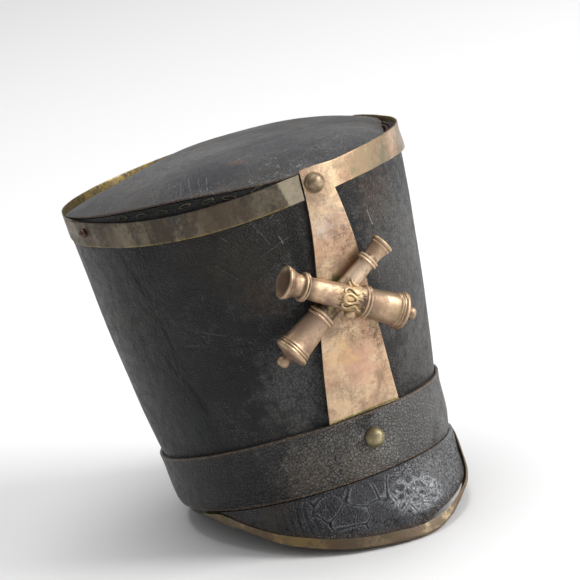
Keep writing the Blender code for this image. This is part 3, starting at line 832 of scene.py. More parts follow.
class Effects:
    """The effects that several materials share, each built once."""

    def __init__(self) -> None:
        """Build every effect."""
        self.place = self._place()
        self.spot = self._spot()
        self.line = self._line()
        self.grain = self._grain()
        self.cracks = self._cracks()
        self.strokes = self._strokes()
        self.specks = self._specks()

    def _place(self) -> bpy.types.NodeTree:
        """Where a point lies in the hat's own upright frame, and flattened in two ways."""
        net, _, leave = new_effect("hat_place", (), (
            ("Point", "Vector"), ("Wrapped", "Vector"), ("Plan", "Vector")))
        back = REST.inverted()
        coordinates = net.node("TexCoord", {})
        point = net.node("Mapping", {
            "Vector": coordinates.outputs["Object"], "Location": tuple(back.translation),
            "Rotation": tuple(back.to_euler())}).outputs[0]
        apart = net.node("SeparateXYZ", {0: point}).outputs
        turn = net.math("ARCTAN2", apart[0], net.times(apart[1], -1.0))
        wrapped = net.node("CombineXYZ", {0: net.times(turn, GIRTH), 1: apart[2]})
        plan = net.node("CombineXYZ", {0: apart[0], 1: apart[1]})
        net.put(leave.inputs["Point"], point)
        net.put(leave.inputs["Wrapped"], wrapped.outputs[0])
        net.put(leave.inputs["Plan"], plan.outputs[0])
        return net.tree

    def _line(self) -> bpy.types.NodeTree:
        """Ragged line between two places."""
        net, given, leave = new_effect("line", (
            ("Point", "Vector", None), ("Start", "Vector", None), ("Along", "Vector", None),
            ("Length", "Float", 0.01), ("Width", "Float", 0.0003), ("Ragged", "Float", 0.5)))
        point = net.shifted(given["Point"], 0.0016, 160.0)
        away = net.vector("SUBTRACT", point, given["Start"])
        share = net.measure("DOT_PRODUCT", away, given["Along"])
        held = net.node("Clamp", {0: share, 1: 0.0, 2: given["Length"]}).outputs[0]
        gap = net.measure("DISTANCE", away, net.scaled(given["Along"], held))
        rough = net.noise(given["Point"], 900.0, 3.0, 0.6)
        swing = net.times(net.less(rough, 0.5), net.times(given["Ragged"], 4.0))
        near = net.add(net.math("DIVIDE", gap, given["Width"]), swing)
        net.put(leave.inputs["Mask"], net.ramp(near, 1.0, 0.3))
        return net.tree

    def _spot(self) -> bpy.types.NodeTree:
        """Ragged round patch about a centre."""
        net, given, leave = new_effect("spot", (
            ("Point", "Vector", None), ("Centre", "Vector", None), ("Radius", "Float", 0.01),
            ("Ragged", "Float", 0.5), ("Scale", "Float", 120.0)))
        distance = net.measure("DISTANCE", given["Point"], given["Centre"])
        rough = net.noise(given["Point"], given["Scale"], 5.0, 0.65)
        swing = net.times(net.less(rough, 0.5), net.times(given["Ragged"], 3.0))
        near = net.add(net.math("DIVIDE", distance, given["Radius"]), swing)
        net.put(leave.inputs["Mask"], net.ramp(near, 1.0, 0.45))
        return net.tree

    def _grain(self) -> bpy.types.NodeTree:
        """Pebbled leather: round grains with creases between them, and fine pores."""
        net, given, leave = new_effect("grain", (
            ("Point", "Vector", None), ("Scale", "Float", 700.0), ("Fine", "Float", 0.4)),
            (("Height", "Float"), ("Crease", "Float")))
        point = net.shifted(given["Point"], 0.0006, 900.0)
        edge = net.cells(point, given["Scale"], "DISTANCE_TO_EDGE").outputs["Distance"]
        crease = net.ramp(edge, 0.20, 0.0)
        pores = net.noise(given["Point"], net.times(given["Scale"], 2.6), 5.0, 0.7)
        height = net.add(net.less(1.0, crease), net.times(pores, given["Fine"]))
        net.put(leave.inputs["Height"], height)
        net.put(leave.inputs["Crease"], crease)
        return net.tree

    def _cracks(self) -> bpy.types.NodeTree:
        """Wandering cracks between plates, broken off where a noise is low."""
        net, given, leave = new_effect("cracks", (
            ("Point", "Vector", None), ("Scale", "Float", 120.0), ("Width", "Float", 0.04),
            ("Cover", "Float", 0.5), ("Wander", "Float", 0.004)))
        point = net.shifted(given["Point"], given["Wander"], 190.0)
        edge = net.cells(point, given["Scale"], "DISTANCE_TO_EDGE").outputs["Distance"]
        line = net.node("Clamp", {0: net.less(1.0, net.math("DIVIDE", edge, given["Width"]))})
        where = net.noise(given["Point"], 55.0, 4.0, 0.6)
        limit = net.less(1.0, given["Cover"])
        shown = net.less(where, net.add(net.times(limit, 0.5), 0.2))
        net.put(leave.inputs["Mask"], net.times(line.outputs[0], net.ramp(shown, 0.0, 0.09)))
        return net.tree

    def _strokes(self) -> bpy.types.NodeTree:
        """Short fine scratches in two slants."""
        net, given, leave = new_effect("strokes", (
            ("Point", "Vector", None), ("Scale", "Float", 300.0), ("Cover", "Float", 0.5)))
        lines = []
        for turn, seed in (((0.3, 0.7, 0.2), 0.0), ((-0.5, -0.8, 0.9), 3.7)):
            moved = net.vector("ADD", given["Point"], (seed, seed, seed))
            point = net.stretch(moved, (1.0, 1.0, 0.11), turn)
            drawn = net.noise(point, given["Scale"], 2.0, 0.5)
            limit = net.less(0.80, net.times(given["Cover"], 0.16))
            lines.append(net.ramp(net.less(drawn, limit), 0.0, 0.03))
        net.put(leave.inputs["Mask"], net.math("MAXIMUM", *lines))
        return net.tree

    def _specks(self) -> bpy.types.NodeTree:
        """Small round pits or flecks, some places more than others."""
        net, given, leave = new_effect("specks", (
            ("Point", "Vector", None), ("Scale", "Float", 350.0), ("Size", "Float", 0.2),
            ("Cover", "Float", 0.5)))
        cells = net.cells(given["Point"], given["Scale"])
        near = net.math("LESS_THAN", cells.outputs["Distance"], given["Size"])
        pick_out = net.node("SeparateColor", {0: cells.outputs["Color"]}).outputs[0]
        chosen = net.math("LESS_THAN", pick_out, given["Cover"])
        where = net.cloud(given["Point"], Cloud(40.0, 0.46, 0.58, 3.0))
        net.put(leave.inputs["Mask"], net.times(net.times(near, chosen), where))
        return net.tree


EFFECTS = Effects()


@dataclass(frozen=True)
class Patch:
    """A stain, a worn place or a patch of painted light or shade, in the hat's frame."""

    centre: Point
    radius: float
    colour: Colour
    strength: float = 1.0
    ragged: float = 0.5
    scale: float = 120.0
    flecked: float = 0.0


class Lay(Enum):
    """How a surface is flattened for the lines that are drawn on it."""

    ROUND = "Wrapped"
    FROM_ABOVE = "Plan"


@dataclass(frozen=True)
class Stroke:
    """A scratch, a crack, a stain or a painted shadow along a line, between two places in the hat's
    frame.
    """

    start: Point
    end: Point
    width: float = 0.00035
    colour: Colour = (0.16, 0.16, 0.16)
    strength: float = 0.8
    ragged: float = 0.5
    lay: Lay = Lay.ROUND

    def flat(self, point: Point) -> Vector:
        """A place as it lies on the flattened surface."""
        if self.lay is Lay.FROM_ABOVE:
            return Vector((point[0], point[1], 0.0))
        return Vector((math.atan2(point[0], -point[1]) * GIRTH, point[2], 0.0))


class Coat:
    """A material in the making: its net, its shader and the hat's place."""

    flecks = Cloud(700.0, 0.44, 0.60, 4.0, 0.7)

    def __init__(self, name: str) -> None:
        """Start a material of that name."""
        self.made = bpy.data.materials.new(name + "_finish")
        self.made.use_nodes = True
        self.net = Net(self.made.node_tree)
        self.shader = self.made.node_tree.nodes["Principled BSDF"]
        self.place = self.net.group(EFFECTS.place)
        self.point = self.place.outputs["Point"]

    def set(self, name: str, value: object) -> None:
        """Link or set one of the shader's inputs."""
        self.net.put(self.shader.inputs[name], value)

    def relief(self, height: Socket, strength: float, distance: float) -> None:
        """Feed a height to the shader's normal."""
        bump = self.net.node("Bump", {
            "Strength": strength, "Distance": distance, "Height": height})
        self.set("Normal", bump.outputs[0])

    def mask(self, effect: bpy.types.NodeTree, **values: object) -> Socket:
        """First output of a shared effect at the hat's place."""
        return self.net.group(effect, **{"Point": self.point, **values}).outputs[0]

    def patches(self, colour: Socket, patches: Sequence[Patch]) -> Socket:
        """Lay stains and painted light or shade over a colour, one after another.

        Args:
            colour: the ground.
            patches: the stains and the painted patches of light and shade.

        Returns:
            The colour that shows.
        """
        net = self.net
        flecks = net.cloud(self.point, self.flecks)
        for patch in patches:
            mask = net.times(self.mask(
                EFFECTS.spot, Centre=patch.centre, Radius=patch.radius, Ragged=patch.ragged,
                Scale=patch.scale), patch.strength)
            kept = 1.0
            if patch.flecked:
                kept = net.add(net.times(flecks, patch.flecked), 1.0 - patch.flecked)
            colour = net.lay(colour, (mask, kept, patch.colour))
        return colour

    def strokes(self, colour: Socket, strokes: Sequence[Stroke]) -> Socket:
        """Draw lines over a colour, one after another.

        Args:
            colour: the ground.
            strokes: the lines.

        Returns:
            The colour that shows.
        """
        for stroke in strokes:
            start, end = stroke.flat(stroke.start), stroke.flat(stroke.end)
            mask = self.mask(
                EFFECTS.line, Point=self.place.outputs[stroke.lay.value], Start=tuple(start),
                Along=tuple((end - start).normalized()), Length=(end - start).length,
                Width=stroke.width, Ragged=stroke.ragged)
            colour = self.net.lay(colour, (mask, stroke.strength, stroke.colour))
        return colour


@dataclass(frozen=True)
class Leather:
    """Finish of old blackened leather."""

    name: str
    dark: Colour
    pale: Colour
    worn: Colour
    fleck: Colour
    tint: Colour = (0.040, 0.030, 0.018)
    tinted: float = 0.45
    roughness: float = 0.45
    shine: float = 0.45
    grain_scale: float = 620.0
    grain_depth: float = 0.6
    crease_dark: float = 0.45
    crack_scale: float = 90.0
    crack_cover: float = 0.5
    crack_depth: float = 0.5
    crack_dark: float = 0.5
    crack_colour: Colour = (0.006, 0.006, 0.006)
    open_crack_dark: float = 0.85
    vein_depth: float = 0.8
    stroke_cover: float = 0.4
    stroke_depth: float = 0.2
    stroke_pale: float = 0.6
    brown: float = 0.3
    flecked: float = 0.45
    dust_depth: float = 0.15
    swell_depth: float = 1.2
    relief_depth: float = 0.0009
    drag: Point = (1.0, 1.0, 1.0)
    clouds: Cloud = Cloud(16.0, 0.36, 0.66, 6.0, 0.62)
    mottles: Cloud = Cloud(150.0, 0.38, 0.64, 6.0, 0.7)
    tints: Cloud = Cloud(11.0, 0.47, 0.62, 5.0, 0.6, 0.6)
    rubs: Cloud = Cloud(34.0, 0.54, 0.68, 8.0, 0.7, 0.4)
    speckles: Cloud = Cloud(620.0, 0.46, 0.60, 4.0, 0.7)
    dusty_places: Cloud = Cloud(27.0, 0.45, 0.60, 7.0, 0.68)
    dusts: Cloud = Cloud(900.0, 0.52, 0.62, 3.0, 0.7)
    scratched_places: Cloud = Cloud(21.0, 0.44, 0.62)
    patches: tuple[Patch, ...] = ()
    strokes: tuple[Stroke, ...] = ()

    def material(self) -> bpy.types.Material:
        """Build the material.

        Returns:
            A material that reads the mesh's "crack", "crumple", "lip" and "worn" attributes.
        """
        coat = Coat(self.name)
        net, point = coat.net, coat.point
        dragged = net.stretch(point, self.drag)
        cloud = net.cloud(point, self.clouds)
        mottle = net.cloud(dragged, self.mottles)
        speckled = net.cloud(point, self.speckles)
        dust_grain = net.cloud(dragged, self.dusts)
        dust = net.times(net.cloud(point, self.dusty_places), dust_grain)
        rubbed = net.times(net.cloud(point, self.rubs), speckled)
        grain = net.group(EFFECTS.grain, Point=point, Scale=self.grain_scale)
        cracks = coat.mask(EFFECTS.cracks, Scale=self.crack_scale, Cover=self.crack_cover)
        fine = coat.mask(EFFECTS.cracks, Scale=self.crack_scale * 3.1,
                         Cover=self.crack_cover * 0.9, Width=0.07, Wander=0.002)
        veins = net.times(net.attribute("crumple"), coat.mask(
            EFFECTS.cracks, Point=net.stretch(point, (1.0, 1.0, 0.22)), Scale=300.0, Cover=1.0,
            Width=0.16, Wander=0.002))
        scratches = coat.mask(EFFECTS.strokes, Scale=420.0, Cover=self.stroke_cover)
        scratched = net.times(scratches, net.cloud(point, self.scratched_places))
        colour = net.lay(
            self.dark, (net.add(cloud, mottle), 0.5, self.pale),
            (net.cloud(point, self.tints), self.tinted, self.tint),
            (rubbed, self.brown, self.worn),
            (grain.outputs["Crease"], self.crease_dark, self.dark),
            (dust, self.flecked, self.fleck), (scratched, self.stroke_pale, self.fleck))
        colour = coat.patches(colour, self.patches)
        colour = net.lay(colour, (net.add(cracks, veins), self.crack_dark, self.dark))
        colour = coat.strokes(colour, self.strokes)
        coat.set("Base Color", net.lay(
            colour, (net.attribute("crack"), self.open_crack_dark, self.crack_colour),
            # Painted highlight: the pale fleck colour laid along raised crack lips.
            (net.attribute("lip"), net.add(net.times(speckled, 0.5), 0.5), self.fleck),
            (net.attribute("worn"), net.add(net.times(speckled, 0.7), 0.3), self.worn)))
        rough = net.total((mottle, 0.16), (dust, 0.15), (cloud, -0.05))
        coat.set("Roughness", net.add(rough, self.roughness - 0.08))
        coat.shader.inputs["Specular IOR Level"].default_value = self.shine
        coat.relief(net.total(
            (grain.outputs["Height"], self.grain_depth), (cracks, -self.crack_depth),
            (fine, -0.6 * self.crack_depth), (veins, -self.vein_depth),
            (scratches, -self.stroke_depth), (net.noise(point, 60.0, 5.0), self.swell_depth),
            (dust_grain, self.dust_depth)), 1.0, self.relief_depth)
        return coat.made


@dataclass(frozen=True)
class Brass:
    """Finish of old sheet or cast brass."""

    name: str
    bright: Colour
    dull: Colour
    stain: Colour
    blush: Colour
    blushed: float = 0.4
    stained: float = 0.55
    cover: float = 0.5
    roughness: float = 0.38
    dull_roughness: float = 0.58
    pits: float = 0.3
    pit_colour: Colour = (0.085, 0.058, 0.040)
    pit_depth: float = 0.6
    scale: float = 40.0
    streak: Point = (1.0, 1.0, 1.0)
    cloud_depth: float = 0.5
    fine_depth: float = 0.22
    scratch_depth: float = 0.06
    hollow_dark: float = 0.0
    hollow_colour: Colour = (0.045, 0.032, 0.020)
    rim_colour: Colour = (0.30, 0.22, 0.07)
    rubbed_colour: Colour = (0.40, 0.345, 0.25)
    blushes: Cloud = Cloud(0.6, 0.42, 0.66, 7.0, 0.65, 0.7)
    stains: Cloud = Cloud(2.3, 0.52, 0.70, 7.0, 0.7, 0.8)
    breaks: Cloud = Cloud(300.0, 0.38, 0.58, 5.0, 0.7)
    patches: tuple[Patch, ...] = ()
    strokes: tuple[Stroke, ...] = ()

    def material(self) -> bpy.types.Material:
        """Build the material.

        Returns:
            A material that reads the mesh's "hollow", "rim" and "rubbed" attributes.
        """
        coat = Coat(self.name)
        net, point = coat.net, coat.point
        drawn = net.stretch(point, self.streak)
        cloud = net.noise(drawn, self.scale, 8.0, 0.66, 0.5)
        fine = net.noise(point, self.scale * 9.0, 6.0, 0.7)
        level = net.total((cloud, 0.68), (fine, 0.32))
        middle = 0.62 - 0.24 * self.cover
        dulled = net.ramp(level, middle - 0.09, middle + 0.10)
        stained = net.cloud(drawn, self.stains, self.scale)
        pits = coat.mask(EFFECTS.specks, Point=net.shifted(point, 0.001, 600.0), Scale=520.0,
                         Size=0.26, Cover=self.pits)
        scratches = coat.mask(EFFECTS.strokes, Scale=260.0, Cover=0.25)
        colour = net.lay(
            self.bright, (dulled, 1.0, self.dull),
            (net.cloud(drawn, self.blushes, self.scale), self.blushed, self.blush),
            (stained, self.stained, self.stain), (pits, self.pit_depth, self.pit_colour),
            (scratches, 0.4, self.bright))
        if self.hollow_dark:
            hollow = net.attribute("hollow")
            colour = net.lay(
                colour, (net.ramp(hollow, 0.01, 0.12), self.hollow_dark, self.hollow_colour),
                (net.ramp(hollow, -0.04, -0.20), 0.5, self.bright))
        colour = net.lay(
            colour, (net.attribute("rim"), net.cloud(point, self.breaks), self.rim_colour),
            (net.attribute("rubbed"), net.ramp(level, 0.70, 0.45, 0.45, 0.95),
             self.rubbed_colour))
        colour = coat.patches(colour, self.patches)
        coat.set("Base Color", coat.strokes(colour, self.strokes))
        rough = net.ramp(level, middle - 0.1, middle + 0.12, self.roughness, self.dull_roughness)
        coat.set("Roughness", net.add(rough, net.times(pits, 0.2)))
        grime = net.total((dulled, 0.18), (stained, 0.18), (pits, 0.6))
        coat.set("Metallic", net.less(1.0, grime))
        coat.relief(net.total(
            (cloud, self.cloud_depth), (pits, -self.pit_depth), (fine, self.fine_depth),
            (scratches, -self.scratch_depth)), 0.8, 0.0005)
        return coat.made


@dataclass(frozen=True)
class Raw:
    """Finish of a bare edge, a lining or a thread: dry and matt."""

    name: str
    dark: Colour
    pale: Colour
    scale: float = 260.0
    roughness: float = 0.85
    depth: float = 0.5

    def material(self) -> bpy.types.Material:
        """Build the material."""
        coat = Coat(self.name)
        net, point = coat.net, coat.point
        fibres = net.noise(point, self.scale, 6.0, 0.7, 0.6)
        level = net.total((fibres, 0.6), (net.noise(point, self.scale * 0.14, 4.0), 0.4))
        coat.set("Base Color", net.lay(self.dark, (net.ramp(level, 0.38, 0.62), 1.0, self.pale)))
        coat.set("Roughness", net.ramp(fibres, 0.3, 0.7, self.roughness - 0.1,
                                       self.roughness + 0.08))
        coat.relief(net.times(fibres, self.depth), 0.8, 0.0005)
        return coat.made


BLACK: Colour = (0.0075, 0.0078, 0.0098)
SLATE: Colour = (0.020, 0.0208, 0.0245)
ASH: Colour = (0.22, 0.215, 0.20)
BROWN: Colour = (0.10, 0.052, 0.028)
VERDIGRIS: Colour = (0.13, 0.19, 0.05)
SOOT: Colour = (0.006, 0.006, 0.006)

RAW_EDGE = Raw("raw_edge", (0.045, 0.018, 0.010), (0.20, 0.090, 0.050))
DARK_EDGE = Raw("dark_edge", (0.010, 0.007, 0.006), (0.060, 0.026, 0.016))
LINING = Raw("lining", (0.055, 0.034, 0.020), (0.15, 0.095, 0.055), scale=120.0)
THREAD = Raw("thread", (0.016, 0.013, 0.008), (0.105, 0.088, 0.048), scale=900.0)

CROWN_LEATHER = Leather(
    "crown_leather", BLACK, SLATE, BROWN, ASH, shine=0.36, flecked=0.42, grain_depth=0.7,
    patches=(
        # Partly painted light: the pale grey patches right of the plate and low on the front are
        # grey dust, and also paint in the light falling on the right side and the lower front.
        Patch((0.062, -0.098, 0.120), 0.060, (0.092, 0.089, 0.084), 0.8, 0.7, 60.0, 0.5),
        Patch((0.052, -0.107, 0.155), 0.040, (0.135, 0.130, 0.122), 0.75, 1.0, 160.0, 0.75),
        Patch((0.044, -0.119, 0.176), 0.021, (0.130, 0.074, 0.040), 0.65, 1.3, 260.0, 0.95),
        Patch((-0.050, -0.108, 0.155), 0.030, (0.042, 0.036, 0.022), 0.6, 0.9, 90.0, 0.5),
        Patch((-0.034, -0.112, 0.120), 0.030, (0.060, 0.056, 0.050), 0.6, 1.0, 120.0, 0.9),
        Patch((-0.045, -0.106, 0.137), 0.016, (0.090, 0.046, 0.026), 0.6, 1.2, 260.0, 0.8),
        Patch((-0.036, -0.107, 0.072), 0.042, (0.125, 0.123, 0.120), 0.8, 0.9, 90.0, 0.75),
        Patch((-0.024, -0.118, 0.135), 0.030, (0.100, 0.100, 0.100), 0.6, 0.9, 140.0, 0.9),
        Patch((0.046, -0.090, 0.072), 0.030, (0.130, 0.128, 0.124), 0.7, 0.9, 120.0, 0.8),
    ), strokes=(
        # Painted shadow: a dark strip down the wall left of the plate, where the plate stands off
        # the leather.
        Stroke((-0.0225, -0.1250, 0.1840), (-0.0230, -0.1180, 0.1180), 0.0050,
               (0.004, 0.004, 0.0045), 0.75, 0.5),
        Stroke((-0.0680, -0.0966, 0.1642), (-0.0584, -0.1033, 0.1518), 0.0005, strength=0.5,
               ragged=0.9),
        Stroke((-0.0866, -0.0647, 0.1277), (-0.0705, -0.0863, 0.1182), 0.0004,
               (0.11, 0.11, 0.115), 0.6),
        Stroke((-0.0878, -0.0597, 0.1165), (-0.0825, -0.0692, 0.1150), 0.0004,
               (0.13, 0.13, 0.135), 0.7),
        Stroke((-0.0699, -0.0762, 0.0685), (-0.0666, -0.0785, 0.0614), 0.0006,
               (0.10, 0.095, 0.08), 0.6),
        Stroke((-0.0715, -0.0745, 0.0690), (-0.0685, -0.0770, 0.0622), 0.0005,
               (0.10, 0.095, 0.08), 0.5),
        Stroke((-0.0521, -0.1117, 0.1816), (-0.0425, -0.1158, 0.1679), 0.0005,
               SOOT, 0.8, 0.7),
        Stroke((-0.0456, -0.1162, 0.1861), (-0.0376, -0.1183, 0.1690), 0.0004, strength=0.45,
               ragged=1.0),
        Stroke((-0.0340, -0.1210, 0.1797), (-0.0282, -0.1213, 0.1620), 0.0005,
               SOOT, 0.8, 0.7),
        Stroke((-0.0436, -0.1147, 0.1630), (-0.0250, -0.1232, 0.1702), 0.0004, strength=0.45,
               ragged=1.0),
        Stroke((-0.0320, -0.1210, 0.1740), (-0.0300, -0.1213, 0.1670), 0.0004,
               (0.30, 0.30, 0.30), 0.7, 0.8),
        Stroke((0.0330, -0.1215, 0.1690), (0.0345, -0.1190, 0.1590), 0.0005,
               (0.30, 0.29, 0.28), 0.8),
    ))
TOP_LEATHER = Leather(
    "top_leather", (0.020, 0.0202, 0.0235), (0.105, 0.104, 0.108), BROWN, (0.42, 0.41, 0.395),
    tint=(0.066, 0.054, 0.040), roughness=0.42, crack_cover=0.35, stroke_cover=0.9,
    grain_depth=0.55, flecked=0.55, brown=0.55, drag=(0.45, 1.0, 1.0), patches=(
        Patch((-0.050, -0.080, 0.214), 0.034, (0.020, 0.021, 0.030), 0.7, 0.8, 70.0, 0.3),
        Patch((0.020, -0.060, 0.216), 0.040, (0.045, 0.046, 0.056), 0.6, 0.8, 70.0, 0.3),
        Patch((0.010, 0.050, 0.222), 0.040, (0.070, 0.057, 0.042), 0.6, 1.0, 90.0, 0.5),
        Patch((-0.027, -0.078, 0.216), 0.008, (0.19, 0.10, 0.055), 0.8, 1.1, 300.0, 0.6),
        Patch((-0.010, 0.010, 0.221), 0.044, (0.170, 0.166, 0.162), 0.7, 1.0, 90.0, 0.8),
        Patch((-0.060, -0.020, 0.214), 0.030, (0.200, 0.195, 0.190), 0.55, 1.1, 140.0, 0.8),
        Patch((-0.090, -0.055, 0.206), 0.024, (0.120, 0.100, 0.080), 0.6, 1.1, 120.0, 0.8),
        Patch((0.055, -0.080, 0.213), 0.050, (0.125, 0.121, 0.118), 0.6, 0.9, 90.0, 0.6),
    ), strokes=(
        Stroke((-0.0589, -0.0717, 0.0), (-0.0692, -0.0934, 0.0), 0.0005, lay=Lay.FROM_ABOVE),
        Stroke((-0.0554, -0.0795, 0.0), (-0.0653, -0.1000, 0.0), 0.0004, lay=Lay.FROM_ABOVE),
        Stroke((-0.0521, -0.0845, 0.0), (-0.0612, -0.1021, 0.0), 0.0004, lay=Lay.FROM_ABOVE),
        Stroke((-0.0640, -0.0700, 0.0), (-0.0745, -0.0900, 0.0), 0.0004, lay=Lay.FROM_ABOVE),
        Stroke((0.0100, -0.0980, 0.0), (0.0300, -0.1040, 0.0), 0.0006, lay=Lay.FROM_ABOVE),
    ))
STRAP_LEATHER = Leather(
    "strap_leather", BLACK, (0.034, 0.034, 0.037), (0.210, 0.135, 0.082), ASH,
    roughness=0.40, grain_scale=430.0, grain_depth=1.2, crack_cover=0.25, brown=0.3,
    flecked=0.5, stroke_cover=0.2, patches=(
        # Painted light: the three pale grey patches across the strap's front, brightest under the
        # button, paint in the light and grain sheen that fall there.
        Patch((-0.032, -0.102, 0.018), 0.042, (0.165, 0.150, 0.132), 0.8, 0.8, 110.0, 0.75),
        Patch((0.030, -0.102, 0.026), 0.052, (0.175, 0.172, 0.166), 0.85, 0.8, 70.0, 0.55),
        Patch((-0.004, -0.108, 0.013), 0.024, (0.240, 0.225, 0.205), 0.75, 0.9, 200.0, 0.8),
        Patch((-0.044, -0.094, 0.013), 0.014, (0.165, 0.112, 0.074), 0.55, 1.2, 300.0, 0.8),
        Patch((-0.016, -0.105, 0.008), 0.018, (0.135, 0.098, 0.066), 0.5, 1.2, 300.0, 0.8),
    ))
PEAK_LEATHER = Leather(
    "peak_leather", (0.010, 0.0103, 0.013), (0.036, 0.037, 0.044), (0.070, 0.042, 0.026),
    (0.55, 0.56, 0.58), roughness=0.32, grain_scale=560.0, grain_depth=0.35, crack_cover=0.4,
    stroke_cover=0.2, flecked=0.12, patches=(
        # Painted light: the two pale grey patches on the front right of the peak paint in the light
        # and sheen that fall there.
        Patch((0.055, -0.092, -0.012), 0.040, (0.170, 0.169, 0.168), 0.85, 0.8, 120.0, 0.85),
        Patch((0.030, -0.107, -0.012), 0.028, (0.230, 0.230, 0.232), 0.8, 0.8, 200.0, 0.85),
        Patch((-0.010, -0.112, -0.010), 0.030, (0.066, 0.067, 0.072), 0.7, 0.8, 90.0, 0.1),
        Patch((-0.070, -0.075, -0.001), 0.018, (0.060, 0.042, 0.026), 0.5, 0.8, 120.0, 0.6),
    ))

BAND_BRASS = Brass(
    "band_brass", (0.215, 0.180, 0.130), (0.080, 0.066, 0.052), (0.050, 0.040, 0.033),
    (0.120, 0.085, 0.062), cover=0.64, streak=(1.0, 1.0, 0.42), scale=48.0, patches=(
        Patch((-0.060, -0.110, 0.199), 0.022, (0.110, 0.080, 0.055), 0.6, 0.7, 70.0),
        Patch((-0.082, -0.085, 0.199), 0.006, (0.060, 0.064, 0.070), 0.6, 1.0, 160.0),
        Patch((-0.104, -0.035, 0.192), 0.013, (0.200, 0.160, 0.115), 0.5, 0.9, 120.0),
    ))
PLATE_BRASS = Brass(
    "plate_brass", (0.60, 0.440, 0.285), (0.33, 0.235, 0.160), (0.17, 0.115, 0.080),
    (0.47, 0.26, 0.17), blushed=0.55, cover=0.47, pits=0.25, scale=70.0,
    rim_colour=(0.30, 0.25, 0.08),
    patches=(
        Patch((0.030, -0.127, 0.196), 0.0060, (0.15, 0.17, 0.095), 0.7, 0.8, 200.0),
        Patch((0.046, -0.121, 0.196), 0.034, (0.33, 0.245, 0.150), 0.8, 0.9, 120.0),
        Patch((0.060, -0.116, 0.194), 0.014, (0.20, 0.180, 0.120), 0.75, 1.1, 160.0),
        Patch((-0.0025, -0.124, 0.134), 0.005, VERDIGRIS, 0.7, 0.8, 240.0),
        Patch((0.002, -0.127, 0.172), 0.016, (0.30, 0.235, 0.190), 0.7, 1.2, 260.0, 0.7),
        Patch((-0.004, -0.127, 0.168), 0.008, (0.56, 0.50, 0.46), 0.6, 1.3, 300.0, 0.8),
        Patch((0.000, -0.127, 0.148), 0.013, (0.26, 0.165, 0.105), 0.6, 1.2, 260.0, 0.8),
        Patch((0.010, -0.127, 0.160), 0.009, (0.13, 0.090, 0.065), 0.6, 1.2, 300.0, 0.9),
        # Painted reflection: the grey patch at the band's far right stands for dull reflections in
        # the brass.
        Patch((0.088, -0.080, 0.197), 0.022, (0.17, 0.150, 0.120), 0.6, 0.9, 90.0),
        Patch((0.000, -0.118, 0.075), 0.017, (0.54, 0.31, 0.22), 0.6, 0.9, 150.0),
        Patch((0.019, -0.116, 0.092), 0.011, (0.13, 0.080, 0.052), 0.75, 1.2, 300.0, 0.85),
        Patch((0.017, -0.112, 0.062), 0.010, (0.36, 0.20, 0.13), 0.6, 1.2, 300.0, 0.8),
        Patch((-0.016, -0.112, 0.066), 0.009, (0.30, 0.22, 0.14), 0.6, 1.2, 300.0, 0.8),
        Patch((-0.004, -0.120, 0.100), 0.012, (0.22, 0.145, 0.085), 0.6, 1.2, 300.0, 0.9),
        Patch((-0.010, -0.116, 0.085), 0.012, (0.60, 0.39, 0.20), 0.5, 0.9, 110.0),
        Patch((0.013, -0.128, 0.190), 0.008, (0.58, 0.44, 0.27), 0.6, 0.9, 200.0),
    ), strokes=(
        Stroke((-0.0275, -0.1034, 0.0450), (0.0240, -0.1031, 0.0460), 0.0010,
               (0.15, 0.15, 0.04), 0.9, 0.9),
        Stroke((-0.0283, -0.1032, 0.0440), (-0.0255, -0.1100, 0.0760), 0.0008,
               (0.20, 0.20, 0.06), 0.7, 0.6),
        # Painted shade: a faint dark line across the plate along a small step in the sheet.
        Stroke((-0.0150, -0.1262, 0.1660), (0.0150, -0.1262, 0.1640), 0.0006,
               (0.24, 0.18, 0.14), 0.3, 0.9),
    ))
BADGE_BRASS = Brass(
    "badge_brass", (0.60, 0.435, 0.275), (0.33, 0.225, 0.155), (0.150, 0.100, 0.070),
    (0.42, 0.26, 0.18), cover=0.52, pits=0.15, scale=62.0, hollow_dark=0.9,
    roughness=0.42, cloud_depth=0.5)
BINDING_BRASS = Brass(
    "binding_brass", (0.33, 0.255, 0.165), (0.165, 0.125, 0.085), (0.085, 0.062, 0.042),
    (0.230, 0.135, 0.065), cover=0.74, roughness=0.5, dull_roughness=0.66,
    hollow_dark=0.5, scale=60.0, patches=(
        Patch((-0.0846, -0.0185, -0.001), 0.006, (0.13, 0.17, 0.05), 0.9, 0.7, 220.0),
        Patch((-0.0845, -0.0357, -0.001), 0.005, (0.14, 0.17, 0.06), 0.8, 0.7, 220.0),
        Patch((-0.0600, -0.0900, -0.012), 0.024, (0.36, 0.25, 0.10), 0.6, 0.9, 120.0),
    ))
RIVET_BRASS = Brass(
    "rivet_brass", (0.44, 0.34, 0.22), (0.165, 0.125, 0.085), (0.075, 0.055, 0.040),
    (0.28, 0.18, 0.11), cover=0.55, hollow_dark=0.7, scale=160.0)
OLD_RIVET_BRASS = Brass(
    "old_rivet_brass", (0.20, 0.125, 0.085), (0.085, 0.050, 0.034), (0.040, 0.026, 0.02),
    (0.15, 0.075, 0.045), cover=0.6, hollow_dark=0.8, scale=160.0)
BUTTON_BRASS = Brass(
    "button_brass", (0.42, 0.36, 0.21), (0.20, 0.17, 0.105), (0.085, 0.070, 0.045),
    (0.30, 0.23, 0.12), cover=0.5, hollow_dark=0.4, scale=140.0)


# ---------------------------------------------------------------------------
# Sub-assemblies


